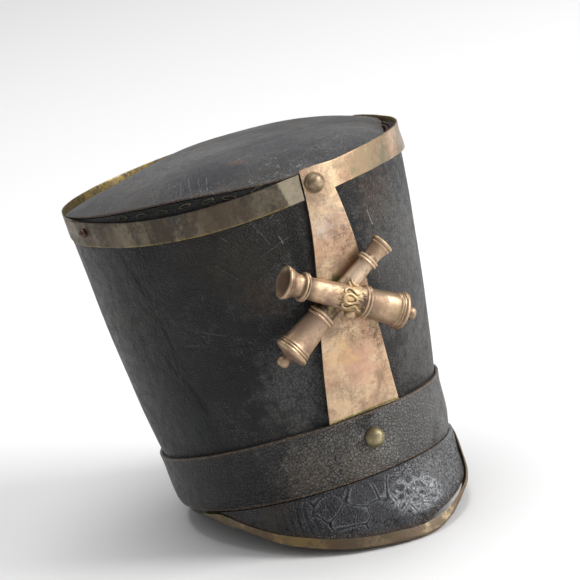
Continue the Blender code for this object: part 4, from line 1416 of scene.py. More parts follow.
@dataclass(frozen=True)
class Crease:
    """A crease or a crack in the leather, between two places of its surface."""

    start: Pair
    end: Pair
    width: float
    depth: float

    def at(self, degrees: float, height: float, girth: float) -> float:
        """How deep a point lies in the crease, from 0 to 1.

        Args:
            degrees: the point's angle.
            height: the point's height.
            girth: metres to a degree round the surface.

        Returns:
            1 on the crease's line, fading to 0 at its width.
        """
        ax, ay = self.start[0] * girth, self.start[1]
        bx, by = self.end[0] * girth, self.end[1]
        px, py = degrees * girth, height
        along = (bx - ax, by - ay)
        share = ((px - ax) * along[0] + (py - ay) * along[1]) / (along[0] ** 2 + along[1] ** 2)
        share = min(max(share, 0.0), 1.0)
        gap = math.hypot(px - ax - share * along[0], py - ay - share * along[1])
        return bump_at(gap, 0.0, self.width) * (1.0 - abs(2.0 * share - 1.0) ** 3)


@dataclass
class Crown:
    """The leather crown: its wall, its domed top and the stitches between them."""

    form: CrownForm = CROWN
    wall_thickness: float = 0.0025
    wall_columns: int = 540
    wall_rows: int = 86
    wall_limit: float = 0.0006
    wall_sink: float = 0.00025
    wall_broad: Ripple = even_ripple(21.0, 0.00055)
    wall_ripple: Ripple = Ripple((90.0, 90.0, 28.0), 0.00020)
    wall_fine: Ripple = even_ripple(260.0, 0.00006)
    plate_reach: Pair = (22.0, 8.0)
    bared_above: float = -0.0010
    bared_reach: Pair = (0.0034, 0.0056)
    dome_rise: float = 0.0143
    dome_power: float = 3.4
    dome_power_sunken: float = 1.9
    edge_power: float = 3.0
    edge_power_sunken: float = 2.2
    sunken: Swell = Swell(-235, -135, -85, 1.0)
    top_broad: Ripple = even_ripple(24.0, 0.00090)
    top_fine: Ripple = even_ripple(300.0, 0.00008)
    top_limit: float = 0.0004
    frill_height: float = 0.00065
    frill_middle: float = -45.0
    frill_width: float = 26.0
    curl: float = 0.0011
    disc_columns: int = 420
    disc_rings: int = 88
    girth: float = 0.0019
    creases: tuple[Crease, ...] = (
        Crease((-39.5, 0.1642), (-33.5, 0.1518), 0.0012, 0.0004),
        Crease((-75.0, 0.186), (-69.0, 0.150), 0.0014, 0.0005),
        Crease((-72.0, 0.176), (-66.5, 0.146), 0.0012, 0.0004),
        Crease((-68.0, 0.140), (-65.5, 0.108), 0.0013, 0.0004),
        Crease((-66.5, 0.098), (-61.0, 0.066), 0.0015, 0.0006),
        Crease((-64.0, 0.090), (-60.5, 0.074), 0.0011, 0.0004),
        Crease((-58.0, 0.064), (-50.0, 0.056), 0.0016, 0.0003),
    )
    crumple_angle: float = -67.0
    crumple_width: float = 6.0
    crumple_depth: float = 0.00042
    stitch_start: float = -72.0
    stitch_end: float = -18.0
    stitches: int = 7
    stitch_least_gap: float = 0.0022
    stitch_radius: float = 0.0027
    thread_radius: float = 0.00045
    stitch_squash: Point = (1.5, 0.42, 1.0)
    layer_reach: Pair = (46.0, 90.0)
    layer_height: float = 0.010
    # Inset from the wall's outside, thickness, and how far below the band's edge
    layers: tuple[Point, ...] = ((0.0030, 0.0012, 0.0006), (0.0054, 0.0014, 0.0012))

    def crumple(self, degrees: float, height: float) -> float:
        """How crumpled the wall is at a place, from 0 to 1.

        Args:
            degrees: round from the front.
            height: metres.

        Returns:
            0 where it is smooth, 1 where it is crumpled most.
        """
        wander = 4.0 * noise.noise(Vector((height * 24.0, 2.0, 0.0)))
        band = bump_at(degrees, self.crumple_angle + wander, self.crumple_width)
        broken = fade(noise.noise(Vector((degrees * 0.05, height * 30.0, 8.0))), -0.35, 0.25)
        return band * broken * fade(height, 0.030, 0.060)

    def wall_push(self, angle: float, height: float) -> float:
        """How far the old wall bulges out or in at a place.

        Args:
            angle: radians from the front.
            height: metres.

        Returns:
            Metres outwards.
        """
        spot = self.form.point(angle, height)
        degrees = signed_degrees(angle)
        held = fade(height, self.form.rim, self.form.rim + 0.012)
        held *= fade(self.form.height - height, 0.010, 0.035)
        groove = sum(c.depth * c.at(degrees, height, self.girth) for c in self.creases)
        ridge = noise.noise(Vector((degrees * 1.05, height * 120.0, 3.0)))
        ridge += 0.6 * noise.noise(Vector((degrees * 2.1, height * 210.0, 5.0)))
        wrinkle = (abs(ridge) - 0.25) * self.crumple_depth * self.crumple(degrees, height)
        front = 1.0 - fade(abs(degrees), *self.plate_reach)
        push = (self.wall_broad.at(spot) * front + self.wall_ripple.at(spot)) * held
        push += self.wall_fine.at(spot) + wrinkle - groove
        return min(push, self.wall_limit) - self.wall_sink * (1.0 - front)

    def build_wall(self) -> None:
        """Model the wall, from the head's rim up under the top, or past it where it shrank."""
        form = self.form

        def place(angle: float, part: float) -> Vector:
            """Point of the wall, from the rim (part 0) to its top."""
            top = form.leather_top(angle) - form.disc_thickness - GAP
            bare = fade(form.shrunk(angle), *self.bared_reach)
            top += (form.band_top(angle) + self.bared_above - top) * bare
            height = form.rim + (top - form.rim) * part
            return form.point(angle, height, self.wall_push(angle, height))

        wall = new_tube("crown_wall_leather", self.wall_columns, self.wall_rows, place)
        cracks, crumples = [], []
        for vert in wall.data.vertices:
            angle = base_angle(vert.co)
            degrees = signed_degrees(angle)
            # The crack mark darkens the creases, and the strip of wall above the band's edge.
            groove = max(c.at(degrees, vert.co.z, self.girth) for c in self.creases) * 0.5
            above = vert.co.z - form.band_top(angle)
            cracks.append(max(groove, 0.9 * fade(above, -0.0015, 0.0005)))
            crumples.append(self.crumple(degrees, vert.co.z))
        store(wall, "crack", cracks)
        store(wall, "crumple", crumples)
        apply_wall(wall, self.wall_thickness)
        shade(wall)
        hand_in(wall, "crown_leather", (CROWN_LEATHER, LINING, DARK_EDGE), "crown_wall")

    def build_top(self) -> None:
        """Model the domed top, a little wrinkled along its front edge."""
        form = self.form
        centre = Vector((form.top_left, -form.top_forward, form.height))
        worn: list[float] = []

        def place(angle: float, part: float) -> Vector:
            """Point of the top, from its edge (part 0) to its middle."""
            out = 1.0 - part
            degrees = signed_degrees(angle)
            sunk = self.sunken.at(degrees)
            edge = form.point(angle, form.leather_top(angle), -form.shrunk(angle))
            edge_power = self.edge_power + (self.edge_power_sunken - self.edge_power) * sunk
            dome_power = self.dome_power + (self.dome_power_sunken - self.dome_power) * sunk
            point = centre.lerp(edge, out)
            point.z = form.height + (edge.z - form.height) * out ** edge_power
            point.z += self.dome_rise * (1.0 - out ** dome_power)
            broad = self.top_broad.at(point) * fade(out, 1.0, 0.85)
            frill = noise.noise(Vector((degrees * 1.15, out * 3.0, 4.0))) * self.frill_height
            frill *= fade(out, 0.72, 0.95)
            frill *= bump_at(degrees, self.frill_middle, self.frill_width)
            curl = self.curl * form.shrunk(angle) / form.disc_pull * fade(out, 0.90, 1.0)
            fine = self.top_fine.at(point)
            point.z += min(broad, self.top_limit) + frill + fine - curl
            worn.append(0.9 * fade(out, 0.985, 0.997))
            return point

        top = new_tube("crown_top_leather", self.disc_columns, self.disc_rings, place)
        store(top, "worn", worn)
        weld(top)
        apply_wall(top, form.disc_thickness)
        apply_bevel(top, 0.0003)
        shade(top)
        hand_in(top, "top_leather", (TOP_LEATHER, LINING, RAW_EDGE), "crown_top")

    def build_layers(self) -> None:
        """Show the raw edges of the inner layers where the top has shrunk from the wall."""
        form = self.form
        start, end = (math.radians(degrees) for degrees in self.layer_reach)
        for index, (inset, thickness, down) in enumerate(self.layers):
            def place(along: float, up: float) -> Vector:
                """Point of one layer."""
                angle = start + (end - start) * along
                ragged = noise.noise(Vector((math.degrees(angle) * 0.5, index * 7.0, 1.0)))
                top = form.band_top(angle) - down + 0.0006 * ragged
                inwards = inset + 0.0003 * ragged
                return form.point(angle, top - self.layer_height * (1.0 - up), -inwards)

            layer = new_sheet(f"rim_layer_{index + 1}", 90, 5, place)
            apply_wall(layer, thickness)
            apply_bevel(layer, 0.0002)
            shade(layer)
            hand_in(layer, "top_leather", (DARK_EDGE, DARK_EDGE, RAW_EDGE))

    def build_stitches(self) -> None:
        """Sew loops of thread over the gap between the band and the top."""
        form = self.form
        loops = []
        for index in range(self.stitches):
            share = (index + 0.5) / self.stitches
            degrees = self.stitch_start + (self.stitch_end - self.stitch_start) * share
            wobble = noise.noise(Vector((index * 3.1, 0.0, 9.0)))
            angle = math.radians(degrees + wobble * 2.0)
            low = form.band_top(angle)
            high = form.leather_top(angle) - form.disc_thickness
            if high - low < self.stitch_least_gap:
                continue
            height = low + (high - low) * (0.50 + 0.35 * wobble)
            deselect_all()
            bpy.ops.mesh.primitive_torus_add(
                major_radius=self.stitch_radius, minor_radius=self.thread_radius,
                major_segments=24, minor_segments=8)
            loop = bpy.context.object
            tilt = Matrix.Rotation(math.radians(20.0 + 50.0 * wobble), 4, "X")
            slant = Matrix.Rotation(math.radians(40.0 * wobble), 4, "Z")
            seat = frame_matrix(form.point(angle, height, GAP),
                                outward_normal(form.point, angle, height))
            loop.data.transform(
                seat @ slant @ tilt @ Matrix.Diagonal((*self.stitch_squash, 1.0)))
            loops.append(loop)
        deselect_all()
        for loop in loops:
            loop.select_set(True)
        bpy.context.view_layer.objects.active = loops[0]
        bpy.ops.object.join()
        stitches = bpy.context.object
        stitches.name = "top_stitches"
        shade(stitches, 60.0)
        hand_in(stitches, "crown_leather", (THREAD,))

    def build(self) -> None:
        """Build the whole crown."""
        self.build_wall()
        self.build_top()
        self.build_layers()
        self.build_stitches()


def on_band(point: Vector) -> Pair:
    """Degrees round the band, and how far up it, from 0 at its lower edge to 1."""
    angle = math.atan2(point.x / CROWN.top_half_width, -point.y / CROWN.top_half_length)
    up = (point.z - CROWN.band_top(angle)) / CROWN.band_height + 1.0
    return signed_degrees(angle), up


def rim_bend(point: Vector) -> Vector:
    """How the band's upper edge is drawn up on the wearer's left."""
    degrees, up = on_band(point)
    return UP * (0.0020 * bump_at(degrees, 70.0, 34.0) * fade(up, 0.2, 1.0))


def plate_bend(point: Vector) -> Vector:
    """How the plate's piece is bent: a loose lower edge at the left, a raised top corner.

    Args:
        point: a place on the brass, in the hat's frame.

    Returns:
        How far it moves.
    """
    degrees, up = on_band(point)
    side = fade(degrees, 44.0, 68.0) * fade(degrees, 96.0, 72.0)
    flare = 0.0020 * side * fade(up, 0.9, 0.0) * fade(up, -0.4, -0.1)
    corner = 0.0022 * fade(degrees, 9.0, -4.0) * fade(up, 0.45, 1.0)
    return level_way(point) * flare + UP * corner + rim_bend(point)


def binding_bend(point: Vector) -> Vector:
    """How the binding is opened where it has slipped off the peak, at the front left.

    Args:
        point: a place on the brass, in the hat's frame.

    Returns:
        How far it moves, which is never down, because the binding lies on the floor.
    """
    degrees = math.degrees(math.atan2(point.x / 0.09, -point.y / 0.10))
    middle = -0.0334 + 0.0014 * fade(degrees, 18.0, 24.0) + 0.0110 * fade(degrees, 22.0, 44.0)
    opened = max(0.0, 0.9 * (point.z - middle) + 0.0015)
    return UP * (opened * bump_at(degrees, 30.0, 22.0))


def band_yellowed(point: Vector, normal: Vector) -> float:
    """How yellow the band's brass is: along its lower edge and on its inside.

    Args:
        point: a place on the brass, in the hat's frame.
        normal: the way that it faces.

    Returns:
        From 0 to 0.9.
    """
    degrees, up = on_band(point)
    if normal.x * point.x + normal.y * point.y < -0.3 * math.hypot(point.x, point.y):
        return 0.9
    wide = 0.09 + 0.05 * noise.noise(point * 90.0)
    beside = fade(degrees, 9.0, 13.0) + fade(degrees, -10.0, -13.0)
    return 0.9 * beside * fade(up, wide, 0.0) * fade(up, -0.4, -0.1)


def band_rubbed(point: Vector, _normal: Vector) -> float:
    """Where the right strip is rubbed clean, beside the plate.

    Args:
        point: a place on the brass, in the hat's frame.

    Returns:
        1 where it is rubbed and 0 elsewhere.
    """
    degrees, up = on_band(point)
    edge = -13.6 + 2.2 * (1.0 - up)
    return fade(degrees, edge, edge + 0.5)


@dataclass
class SheetBrass:
    """A piece of sheet brass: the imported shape, rounded, with small dents."""

    node: str
    name: str
    slot: str
    finish: Brass
    levels: int = 3
    firmness: float = 1.0
    dents: tuple[Ripple, ...] = (even_ripple(62.0, 0.00018), even_ripple(248.0, 0.000054))
    edge_round: float = 0.0002
    bend: Callable[[Vector], Vector] | None = None
    marks: tuple[tuple[str, Callable[[Vector, Vector], float]], ...] = ()

    def build(self) -> None:
        """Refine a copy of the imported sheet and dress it."""
        piece = copy_of_node(self.node, self.name)
        crease_sharp(piece, 40.0, self.firmness)
        apply_modifier(piece, "SUBSURF", levels=self.levels, render_levels=self.levels)
        if self.edge_round:
            apply_bevel(piece, self.edge_round, degrees=50.0)
        if self.bend:
            for vert in piece.data.vertices:
                vert.co += self.bend(vert.co)
            piece.data.update()
        dent(piece, *self.dents)
        store_hollows(piece, 2)
        for mark, rule in self.marks:
            store(piece, mark, [rule(vert.co, vert.normal) for vert in piece.data.vertices])
        shade(piece, 45.0)
        hand_in(piece, self.slot, (self.finish,), self.node)


@dataclass(frozen=True)
class Barrel:
    """Where one cannon barrel of the badge lies."""

    tilt: float
    depth: float
    dip: float
    stretch: float
    slim: float
    station: float
    offset: float

    def axes(self) -> tuple[Vector, Vector, Vector]:
        """Directions in the badge's frame: towards the knob, across, and out."""
        tilt, dip = math.radians(self.tilt), math.radians(self.dip)
        level = Vector((math.cos(tilt), math.sin(tilt), 0.0))
        along = level * math.cos(dip) - UP * math.sin(dip)
        across = Vector((-math.sin(tilt), math.cos(tilt), 0.0))
        return along, across, along.cross(across)

    def on_axis(self, station: float) -> Vector:
        """Place on the axis, in the badge's frame.

        Args:
            station: metres from the muzzle.

        Returns:
            The place.
        """
        along, across, _ = self.axes()
        return along * (station - self.station) + across * self.offset + UP * self.depth


@dataclass
class Badge:
    """Crossed cannons, cast in one piece."""

    crossing: Point = (-0.0035, 0.0, 0.1240)
    front: Barrel = Barrel(-30.5, 0.0102, 0.0, 1.022, 1.0, 0.0474, 0.0)
    rear: Barrel = Barrel(212.5, 0.0058, 3.0, 1.063, 0.72, 0.0430, -0.0031)
    flatten: float = 0.82
    sides: int = 56
    breech: float = 0.0868
    back_left: float = -0.0300
    back_right: float = 0.0220
    plate_centre: float = 0.0040
    plate_radius: float = 0.400
    plate_proud: float = 0.0015
    seat_step: float = 0.010
    cutter_reach: float = 0.1012
    ripple: Ripple = even_ripple(170.0, 0.00010)
    # Half outline as (station from the muzzle, radius), from the bore round to the knob
    outline: tuple[Pair, ...] = (
        (0.0011, 0.0036), (0.0010, 0.0060), (0.0007, 0.0078), (0.0003, 0.0090), (0.0000, 0.0097),
        (0.0002, 0.0104), (0.0010, 0.0109), (0.0018, 0.0108), (0.0022, 0.0103), (0.0026, 0.0098),
        (0.0031, 0.0099), (0.0036, 0.0101), (0.0041, 0.0098), (0.0046, 0.0092), (0.0060, 0.0086),
        (0.0080, 0.0079), (0.0100, 0.0075), (0.0118, 0.0074),
        (0.0126, 0.0077), (0.0129, 0.0089), (0.0134, 0.0094), (0.0140, 0.0094), (0.0144, 0.0088),
        (0.0147, 0.0086), (0.0150, 0.0091), (0.0156, 0.0094), (0.0161, 0.0090), (0.0165, 0.0075),
        (0.0172, 0.0071), (0.0250, 0.0075), (0.0355, 0.0080), (0.0430, 0.0084), (0.0480, 0.0086),
        (0.0560, 0.0092), (0.0567, 0.0095), (0.0570, 0.0104), (0.0576, 0.0107),
        (0.0582, 0.0105), (0.0586, 0.0100), (0.0590, 0.0100), (0.0594, 0.0105), (0.0600, 0.0107),
        (0.0606, 0.0104), (0.0609, 0.0098), (0.0616, 0.0096), (0.0730, 0.0101), (0.0808, 0.0106),
        (0.0814, 0.0109), (0.0818, 0.0114), (0.0823, 0.0115), (0.0827, 0.0111), (0.0831, 0.0111),
        (0.0835, 0.0116), (0.0841, 0.0117), (0.0845, 0.0113), (0.0849, 0.0114), (0.0853, 0.0120),
        (0.0860, 0.0123), (0.0868, 0.0122), (0.0873, 0.0119), (0.0877, 0.0112), (0.0880, 0.0102),
        (0.0884, 0.0088), (0.0889, 0.0070), (0.0896, 0.0050), (0.0903, 0.0038), (0.0910, 0.0033),
        (0.0917, 0.0034), (0.0924, 0.0038), (0.0932, 0.0041), (0.0942, 0.0042), (0.0952, 0.0040),
        (0.0960, 0.0034), (0.0966, 0.0024), (0.0969, 0.0012))
    trunnion_radius: float = 0.0040
    trunnion_length: float = 0.0128
    trunnion_station: float = 0.0524
    wire_radius: float = 0.00085
    wire_lift: float = 0.00055
    # Raised lines on the front barrel as (station, across): two wavy handles, a lozenge between
    upper_handle: tuple[Pair, ...] = (
        (0.0404, 0.0034), (0.0410, 0.0050), (0.0428, 0.0062), (0.0448, 0.0062), (0.0466, 0.0052),
        (0.0482, 0.0042), (0.0496, 0.0040), (0.0510, 0.0046), (0.0522, 0.0056), (0.0536, 0.0062))
    lozenge: tuple[Pair, ...] = (
        (0.0404, 0.0000), (0.0420, 0.0021), (0.0444, 0.0031), (0.0470, 0.0024), (0.0494, 0.0000),
        (0.0470, -0.0024), (0.0444, -0.0031), (0.0420, -0.0021))
    rear_crescents: tuple[tuple[Pair, ...], ...] = (
        ((0.0304, -0.0034), (0.0314, -0.0018), (0.0317, 0.0), (0.0314, 0.0018), (0.0304, 0.0034)),
        ((0.0326, -0.0034), (0.0336, -0.0018), (0.0339, 0.0), (0.0336, 0.0018), (0.0326, 0.0034)))

    def plate_front(self, x: float, height: float) -> float:
        """Y of the plate's outside at a place across it.

        Args:
            x: metres to the wearer's left.
            height: metres.

        Returns:
            Metres to the back.
        """
        angle = math.asin(self.plate_centre / CROWN.top_half_width)
        touch = CROWN.point(angle, height, self.plate_proud)
        return touch.y + (x - self.plate_centre) ** 2 / (2.0 * self.plate_radius)

    def seat(self) -> Matrix:
        """Placement of the badge: X across, Y up the plate, Z out of it, at the crossing."""
        x, _, z = self.crossing
        low, middle, high = (Vector((x, self.plate_front(x, level), level))
                             for level in (z - self.seat_step, z, z + self.seat_step))
        up = (high - low).normalized()
        outward = Vector((1.0, 0.0, 0.0)).cross(up)
        return frame_matrix(middle + outward * GAP, outward, up)

    def slimmed(self, barrel: Barrel, station: float, radius: float) -> float:
        """Radius of a barrel that is slimmer towards its muzzle."""
        return radius * (barrel.slim + (1.0 - barrel.slim) * min(station / self.breech, 1.0))

    def barrel(self, name: str, barrel: Barrel) -> bpy.types.Object:
        """Turn one barrel and lay it in the badge.

        Args:
            name: the piece's name.
            barrel: where it lies.

        Returns:
            The closed piece, placed on the hat.
        """
        rows = [(self.slimmed(barrel, station, radius), -station * barrel.stretch)
                for station, radius in self.outline]
        solid = turned(name, rows, self.sides)
        along, across, out = barrel.axes()
        local = axes_matrix(out * self.flatten, across, -along)
        solid.data.transform(self.seat() @ Matrix.Translation(barrel.on_axis(0.0)) @ local)
        return solid

    def trunnion(self) -> bpy.types.Object:
        """Round pin with a domed end, below the front barrel."""
        radius, length = self.trunnion_radius, self.trunnion_length
        ball = ((0.30, 0.0001), (0.60, 0.0006), (0.84, 0.0015), (0.97, 0.0027), (1.00, 0.0039),
                (0.96, 0.0050), (0.86, 0.0060), (0.84, length))
        rows = [(radius * share, length / 2 - back) for share, back in ball]
        pin = turned("trunnion", rows, 28)
        along, across, out = self.front.axes()
        middle = self.front.on_axis(self.trunnion_station) - across * 0.5 * length
        turn = axes_matrix(along, out, -across)
        pin.data.transform(self.seat() @ Matrix.Translation(middle) @ turn)
        return pin

    def radius_at(self, barrel: Barrel, station: float) -> float:
        """A barrel's radius at a station on its outside.

        Args:
            barrel: the barrel.
            station: metres from the muzzle.

        Returns:
            Metres, or 0 past its ends.
        """
        outside = self.outline[4:]
        for (low, first), (high, second) in zip(outside, outside[1:]):
            if low <= station <= high:
                share = (station - low) / (high - low)
                return self.slimmed(barrel, station, first + (second - first) * share)
        return 0.0

    def raised_line(self, name: str, barrel: Barrel, places: Sequence[Pair],
                    closed: bool = False) -> bpy.types.Object:
        """Raised wire that follows a barrel's surface.

        Args:
            name: the line's name.
            barrel: the barrel that it lies on.
            places: (station, across) along it.
            closed: whether it runs back to its start.

        Returns:
            The closed piece, placed on the hat.
        """
        deselect_all()
        bpy.ops.curve.primitive_bezier_curve_add(location=(0.0, 0.0, 0.0))
        drawn = bpy.context.object
        drawn.name = name
        curve = drawn.data
        curve.bevel_depth = self.wire_radius
        curve.bevel_resolution = 2
        curve.use_fill_caps = not closed
        curve.resolution_u = 4
        spline = curve.splines[0]
        spline.bezier_points.add(len(places) - 2)
        spline.use_cyclic_u = closed
        along, across, out = barrel.axes()
        muzzle = barrel.on_axis(0.0)
        for knot, (station, side) in zip(spline.bezier_points, places):
            radius = self.radius_at(barrel, station)
            rise = self.flatten * math.sqrt(max(radius ** 2 - side ** 2, 0.0)) + self.wire_lift
            knot.co = muzzle + along * station * barrel.stretch + across * side + out * rise
            knot.handle_left_type = knot.handle_right_type = "AUTO"
        pick(drawn)
        bpy.ops.object.convert(target="MESH")
        wire = bpy.context.object
        weld(wire, outwards=True)
        wire.data.transform(self.seat())
        return wire

    def back_cutter(self) -> bpy.types.Object:
        """Box that flattens the badge's back where it lies on the plate."""
        deselect_all()
        bpy.ops.mesh.primitive_cube_add(size=1.0)
        box = bpy.context.object
        reach = self.cutter_reach
        size = (self.back_right - self.back_left, 2.0 * reach, reach, 1.0)
        middle = Vector((0.5 * (self.back_left + self.back_right) - self.crossing[0], 0.0,
                         -0.5 * reach))
        box.data.transform(self.seat() @ Matrix.Translation(middle) @ Matrix.Diagonal(size))
        return box

    def spot(self, barrel: Barrel, station: float, across: float = 0.0) -> Point:
        """Place in the hat's frame on a barrel's axis, or beside it."""
        _, sideways, _ = barrel.axes()
        return tuple(self.seat() @ (barrel.on_axis(station) + sideways * across))

    def finish(self) -> Brass:
        """The casting's brass, with its stains where the muzzles, breeches and handles are, and
        painted light on the rear barrel's shaded chase.
        """
        gold = (0.68, 0.50, 0.23)
        return replace(BADGE_BRASS, patches=(
            Patch(self.spot(self.front, 0.0480), 0.014, gold, 0.40, 0.9, 160.0),
            Patch(self.spot(self.front, 0.0000), 0.0128, (0.180, 0.112, 0.080), 0.85, 0.45, 160.0),
            # Painted light: a pale patch on the rear barrel's chase, which lies in shade.
            Patch(self.spot(self.rear, 0.0270), 0.016, (0.78, 0.60, 0.43), 0.7, 1.0, 120.0),
            Patch(self.spot(self.front, 0.0730), 0.014, (0.34, 0.24, 0.15), 0.6, 1.1, 140.0),
            Patch(self.spot(self.rear, 0.0700, -0.004), 0.014, (0.36, 0.25, 0.19), 0.6, 0.8, 90.0),
            Patch(self.spot(self.rear, 0.0900), 0.012, (0.22, 0.145, 0.105), 0.7, 0.5, 120.0),
            Patch(self.spot(self.front, 0.0930, -0.008), 0.014, (0.18, 0.13, 0.08), 0.6, 0.7,
                  120.0),
            Patch(self.spot(self.front, 0.0700, 0.006), 0.006, (0.22, 0.22, 0.13), 0.6, 0.9, 200.0),
        ))

    def build(self) -> None:
        """Join the barrels, the pin and the handles into one casting."""
        badge = self.barrel("crossed_cannons", self.front)
        apply_boolean(badge, self.barrel("rear_barrel", self.rear), "UNION")
        apply_boolean(badge, self.trunnion(), "UNION")
        lower_handle = [(station, -side) for station, side in self.upper_handle]
        lines = [("upper_handle", self.front, self.upper_handle, False),
                 ("lower_handle", self.front, lower_handle, False),
                 ("lozenge", self.front, self.lozenge, True)]
        lines += [("crescent", self.rear, places, False) for places in self.rear_crescents]
        for name, barrel, places, closed in lines:
            apply_boolean(badge, self.raised_line(name, barrel, places, closed), "UNION")
        apply_boolean(badge, self.back_cutter(), "DIFFERENCE")
        dent(badge, self.ripple)
        store_hollows(badge)
        shade(badge, 38.0)
        hand_in(badge, "badge_brass", (self.finish(),), "cannon_badge")


@dataclass(frozen=True)
class Rivet:
    """A domed rivet or button, by its outline from the top down."""

    name: str
    node: str
    slot: str
    finish: Brass
    outline: tuple[Pair, ...]
    degrees: float
    height: float
    clearance: float
    surface: Place
    ripple: Ripple = even_ripple(420.0, 0.00005)

    def build(self) -> None:
        """Turn the rivet and seat it square on its surface."""
        rivet = turned(self.name, self.outline, 48)
        angle = math.radians(self.degrees)
        outward = outward_normal(self.surface, angle, self.height)
        seat = self.surface(angle, self.height) + outward * self.clearance
        rivet.data.transform(frame_matrix(seat, outward))
        dent(rivet, self.ripple)
        store_hollows(rivet)
        shade(rivet)
        hand_in(rivet, self.slot, (self.finish,), self.node)


def all_rivets() -> list[Rivet]:
    """The plate's rivet, the two small ones of the band's laps and the strap's button."""
    crown, strap = CROWN, STRAP
    big = ((0.0010, 0.0054), (0.0020, 0.0053), (0.0030, 0.0050), (0.0039, 0.0045),
           (0.0047, 0.0038), (0.0053, 0.0030), (0.0057, 0.0022), (0.0059, 0.0015),
           (0.0063, 0.0013), (0.0066, 0.0009), (0.0067, 0.0005), (0.0066, 0.0))
    small = ((0.0006, 0.0028), (0.0013, 0.0026), (0.0020, 0.0022), (0.0026, 0.0016),
             (0.0030, 0.0008), (0.0031, 0.0))
    button = ((0.0012, 0.0056), (0.0024, 0.0054), (0.0036, 0.0049), (0.0047, 0.0041),
              (0.0056, 0.0031), (0.0063, 0.0020), (0.0067, 0.0009), (0.0066, 0.0002),
              (0.0062, 0.0))
    plate_angle = math.asin(-0.0035 / crown.top_half_width)
    middle = crown.band_top(plate_angle) - 0.5 * crown.band_height
    rivets = [Rivet("plate_rivet_dome", "plate_rivet", "rivet_brass", RIVET_BRASS, big,
                    math.degrees(plate_angle), middle, crown.band_proud + GAP, crown.point)]
    for side, degrees, lap in (("right", -89.5, 0.0016), ("left", 89.5, 0.0020)):
        height = crown.band_top(math.radians(degrees)) - 0.0070
        rivets.append(Rivet(f"side_rivet_{side}_dome", f"side_rivet_{side}", "rivet_brass",
                            OLD_RIVET_BRASS, small, degrees, height, crown.band_proud + lap,
                            crown.point))
    seat = math.degrees(math.asin(-0.0010 / crown.base_half_width))
    rivets.append(Rivet("strap_button_dome", "strap_button", "button_brass", BUTTON_BRASS,
                        button, seat, 0.0272, GAP, strap.point))
    return rivets


@dataclass
class Strap:
    """The pebbled leather strap round the crown's base."""

    form: StrapForm = STRAP
    columns: int = 560
    rows: int = 38
    skived: float = 0.0006
    button_height: float = 0.0272
    broad: Ripple = even_ripple(30.0, 0.00035)
    pebble_fineness: float = 520.0
    pebble_depth: float = 0.00012
    pucker_depth: float = 0.0007
    fold_depth: float = 0.0005
    limit: float = 0.0004

    def push(self, angle: float, height: float) -> float:
        """How far the strap's outside bulges at a place.

        Args:
            angle: radians from the front.
            height: metres.

        Returns:
            Metres outwards.
        """
        spot = CROWN.point(angle, height)
        pebble = (0.35 - noise.voronoi(spot * self.pebble_fineness)[0][0]) * self.pebble_depth
        degrees = signed_degrees(angle)
        pucker = bump_at(degrees, 4.0, 5.5) * bump_at(height, self.button_height - 0.004, 0.0045)
        fold = bump_at(degrees, -36.0, 9.0) * bump_at(height, 0.014, 0.006)
        push = min(self.broad.at(spot) + pebble, self.limit)
        return push - self.pucker_depth * pucker - self.fold_depth * fold

    def build(self) -> None:
        """Model and dress the strap."""
        form = self.form

        def place(angle: float, part: float) -> Vector:
            """Point of the strap's outside, from its lower edge (part 0) up."""
            low, high = form.low(angle), form.high(angle)
            height = low + (high - low) * part
            calm = fade(part, 0.0, 0.05) * fade(part, 1.0, 0.95)
            return form.point(angle, height, self.push(angle, height) * calm)

        strap = new_tube("base_strap_leather", self.columns, self.rows, place)
        worn, thinned = [], []
        for vert in strap.data.vertices:
            angle = base_angle(vert.co)
            low, high = form.low(angle), form.high(angle)
            part = (vert.co.z - low) / (high - low)
            worn.append(max(fade(part, 0.036, 0.022), 0.9 * fade(part, 0.955, 0.985)))
            thinned.append(self.skived * fade(part, 0.10, 0.01))
        store(strap, "worn", worn)
        apply_wall(strap, form.thickness)
        for vert, thin in zip(strap.data.vertices, thinned):
            vert.co -= level_way(vert.co) * thin
        apply_bevel(strap, 0.0004)
        shade(strap)
        hand_in(strap, "strap_leather", (STRAP_LEATHER, LINING, RAW_EDGE), "base_strap")


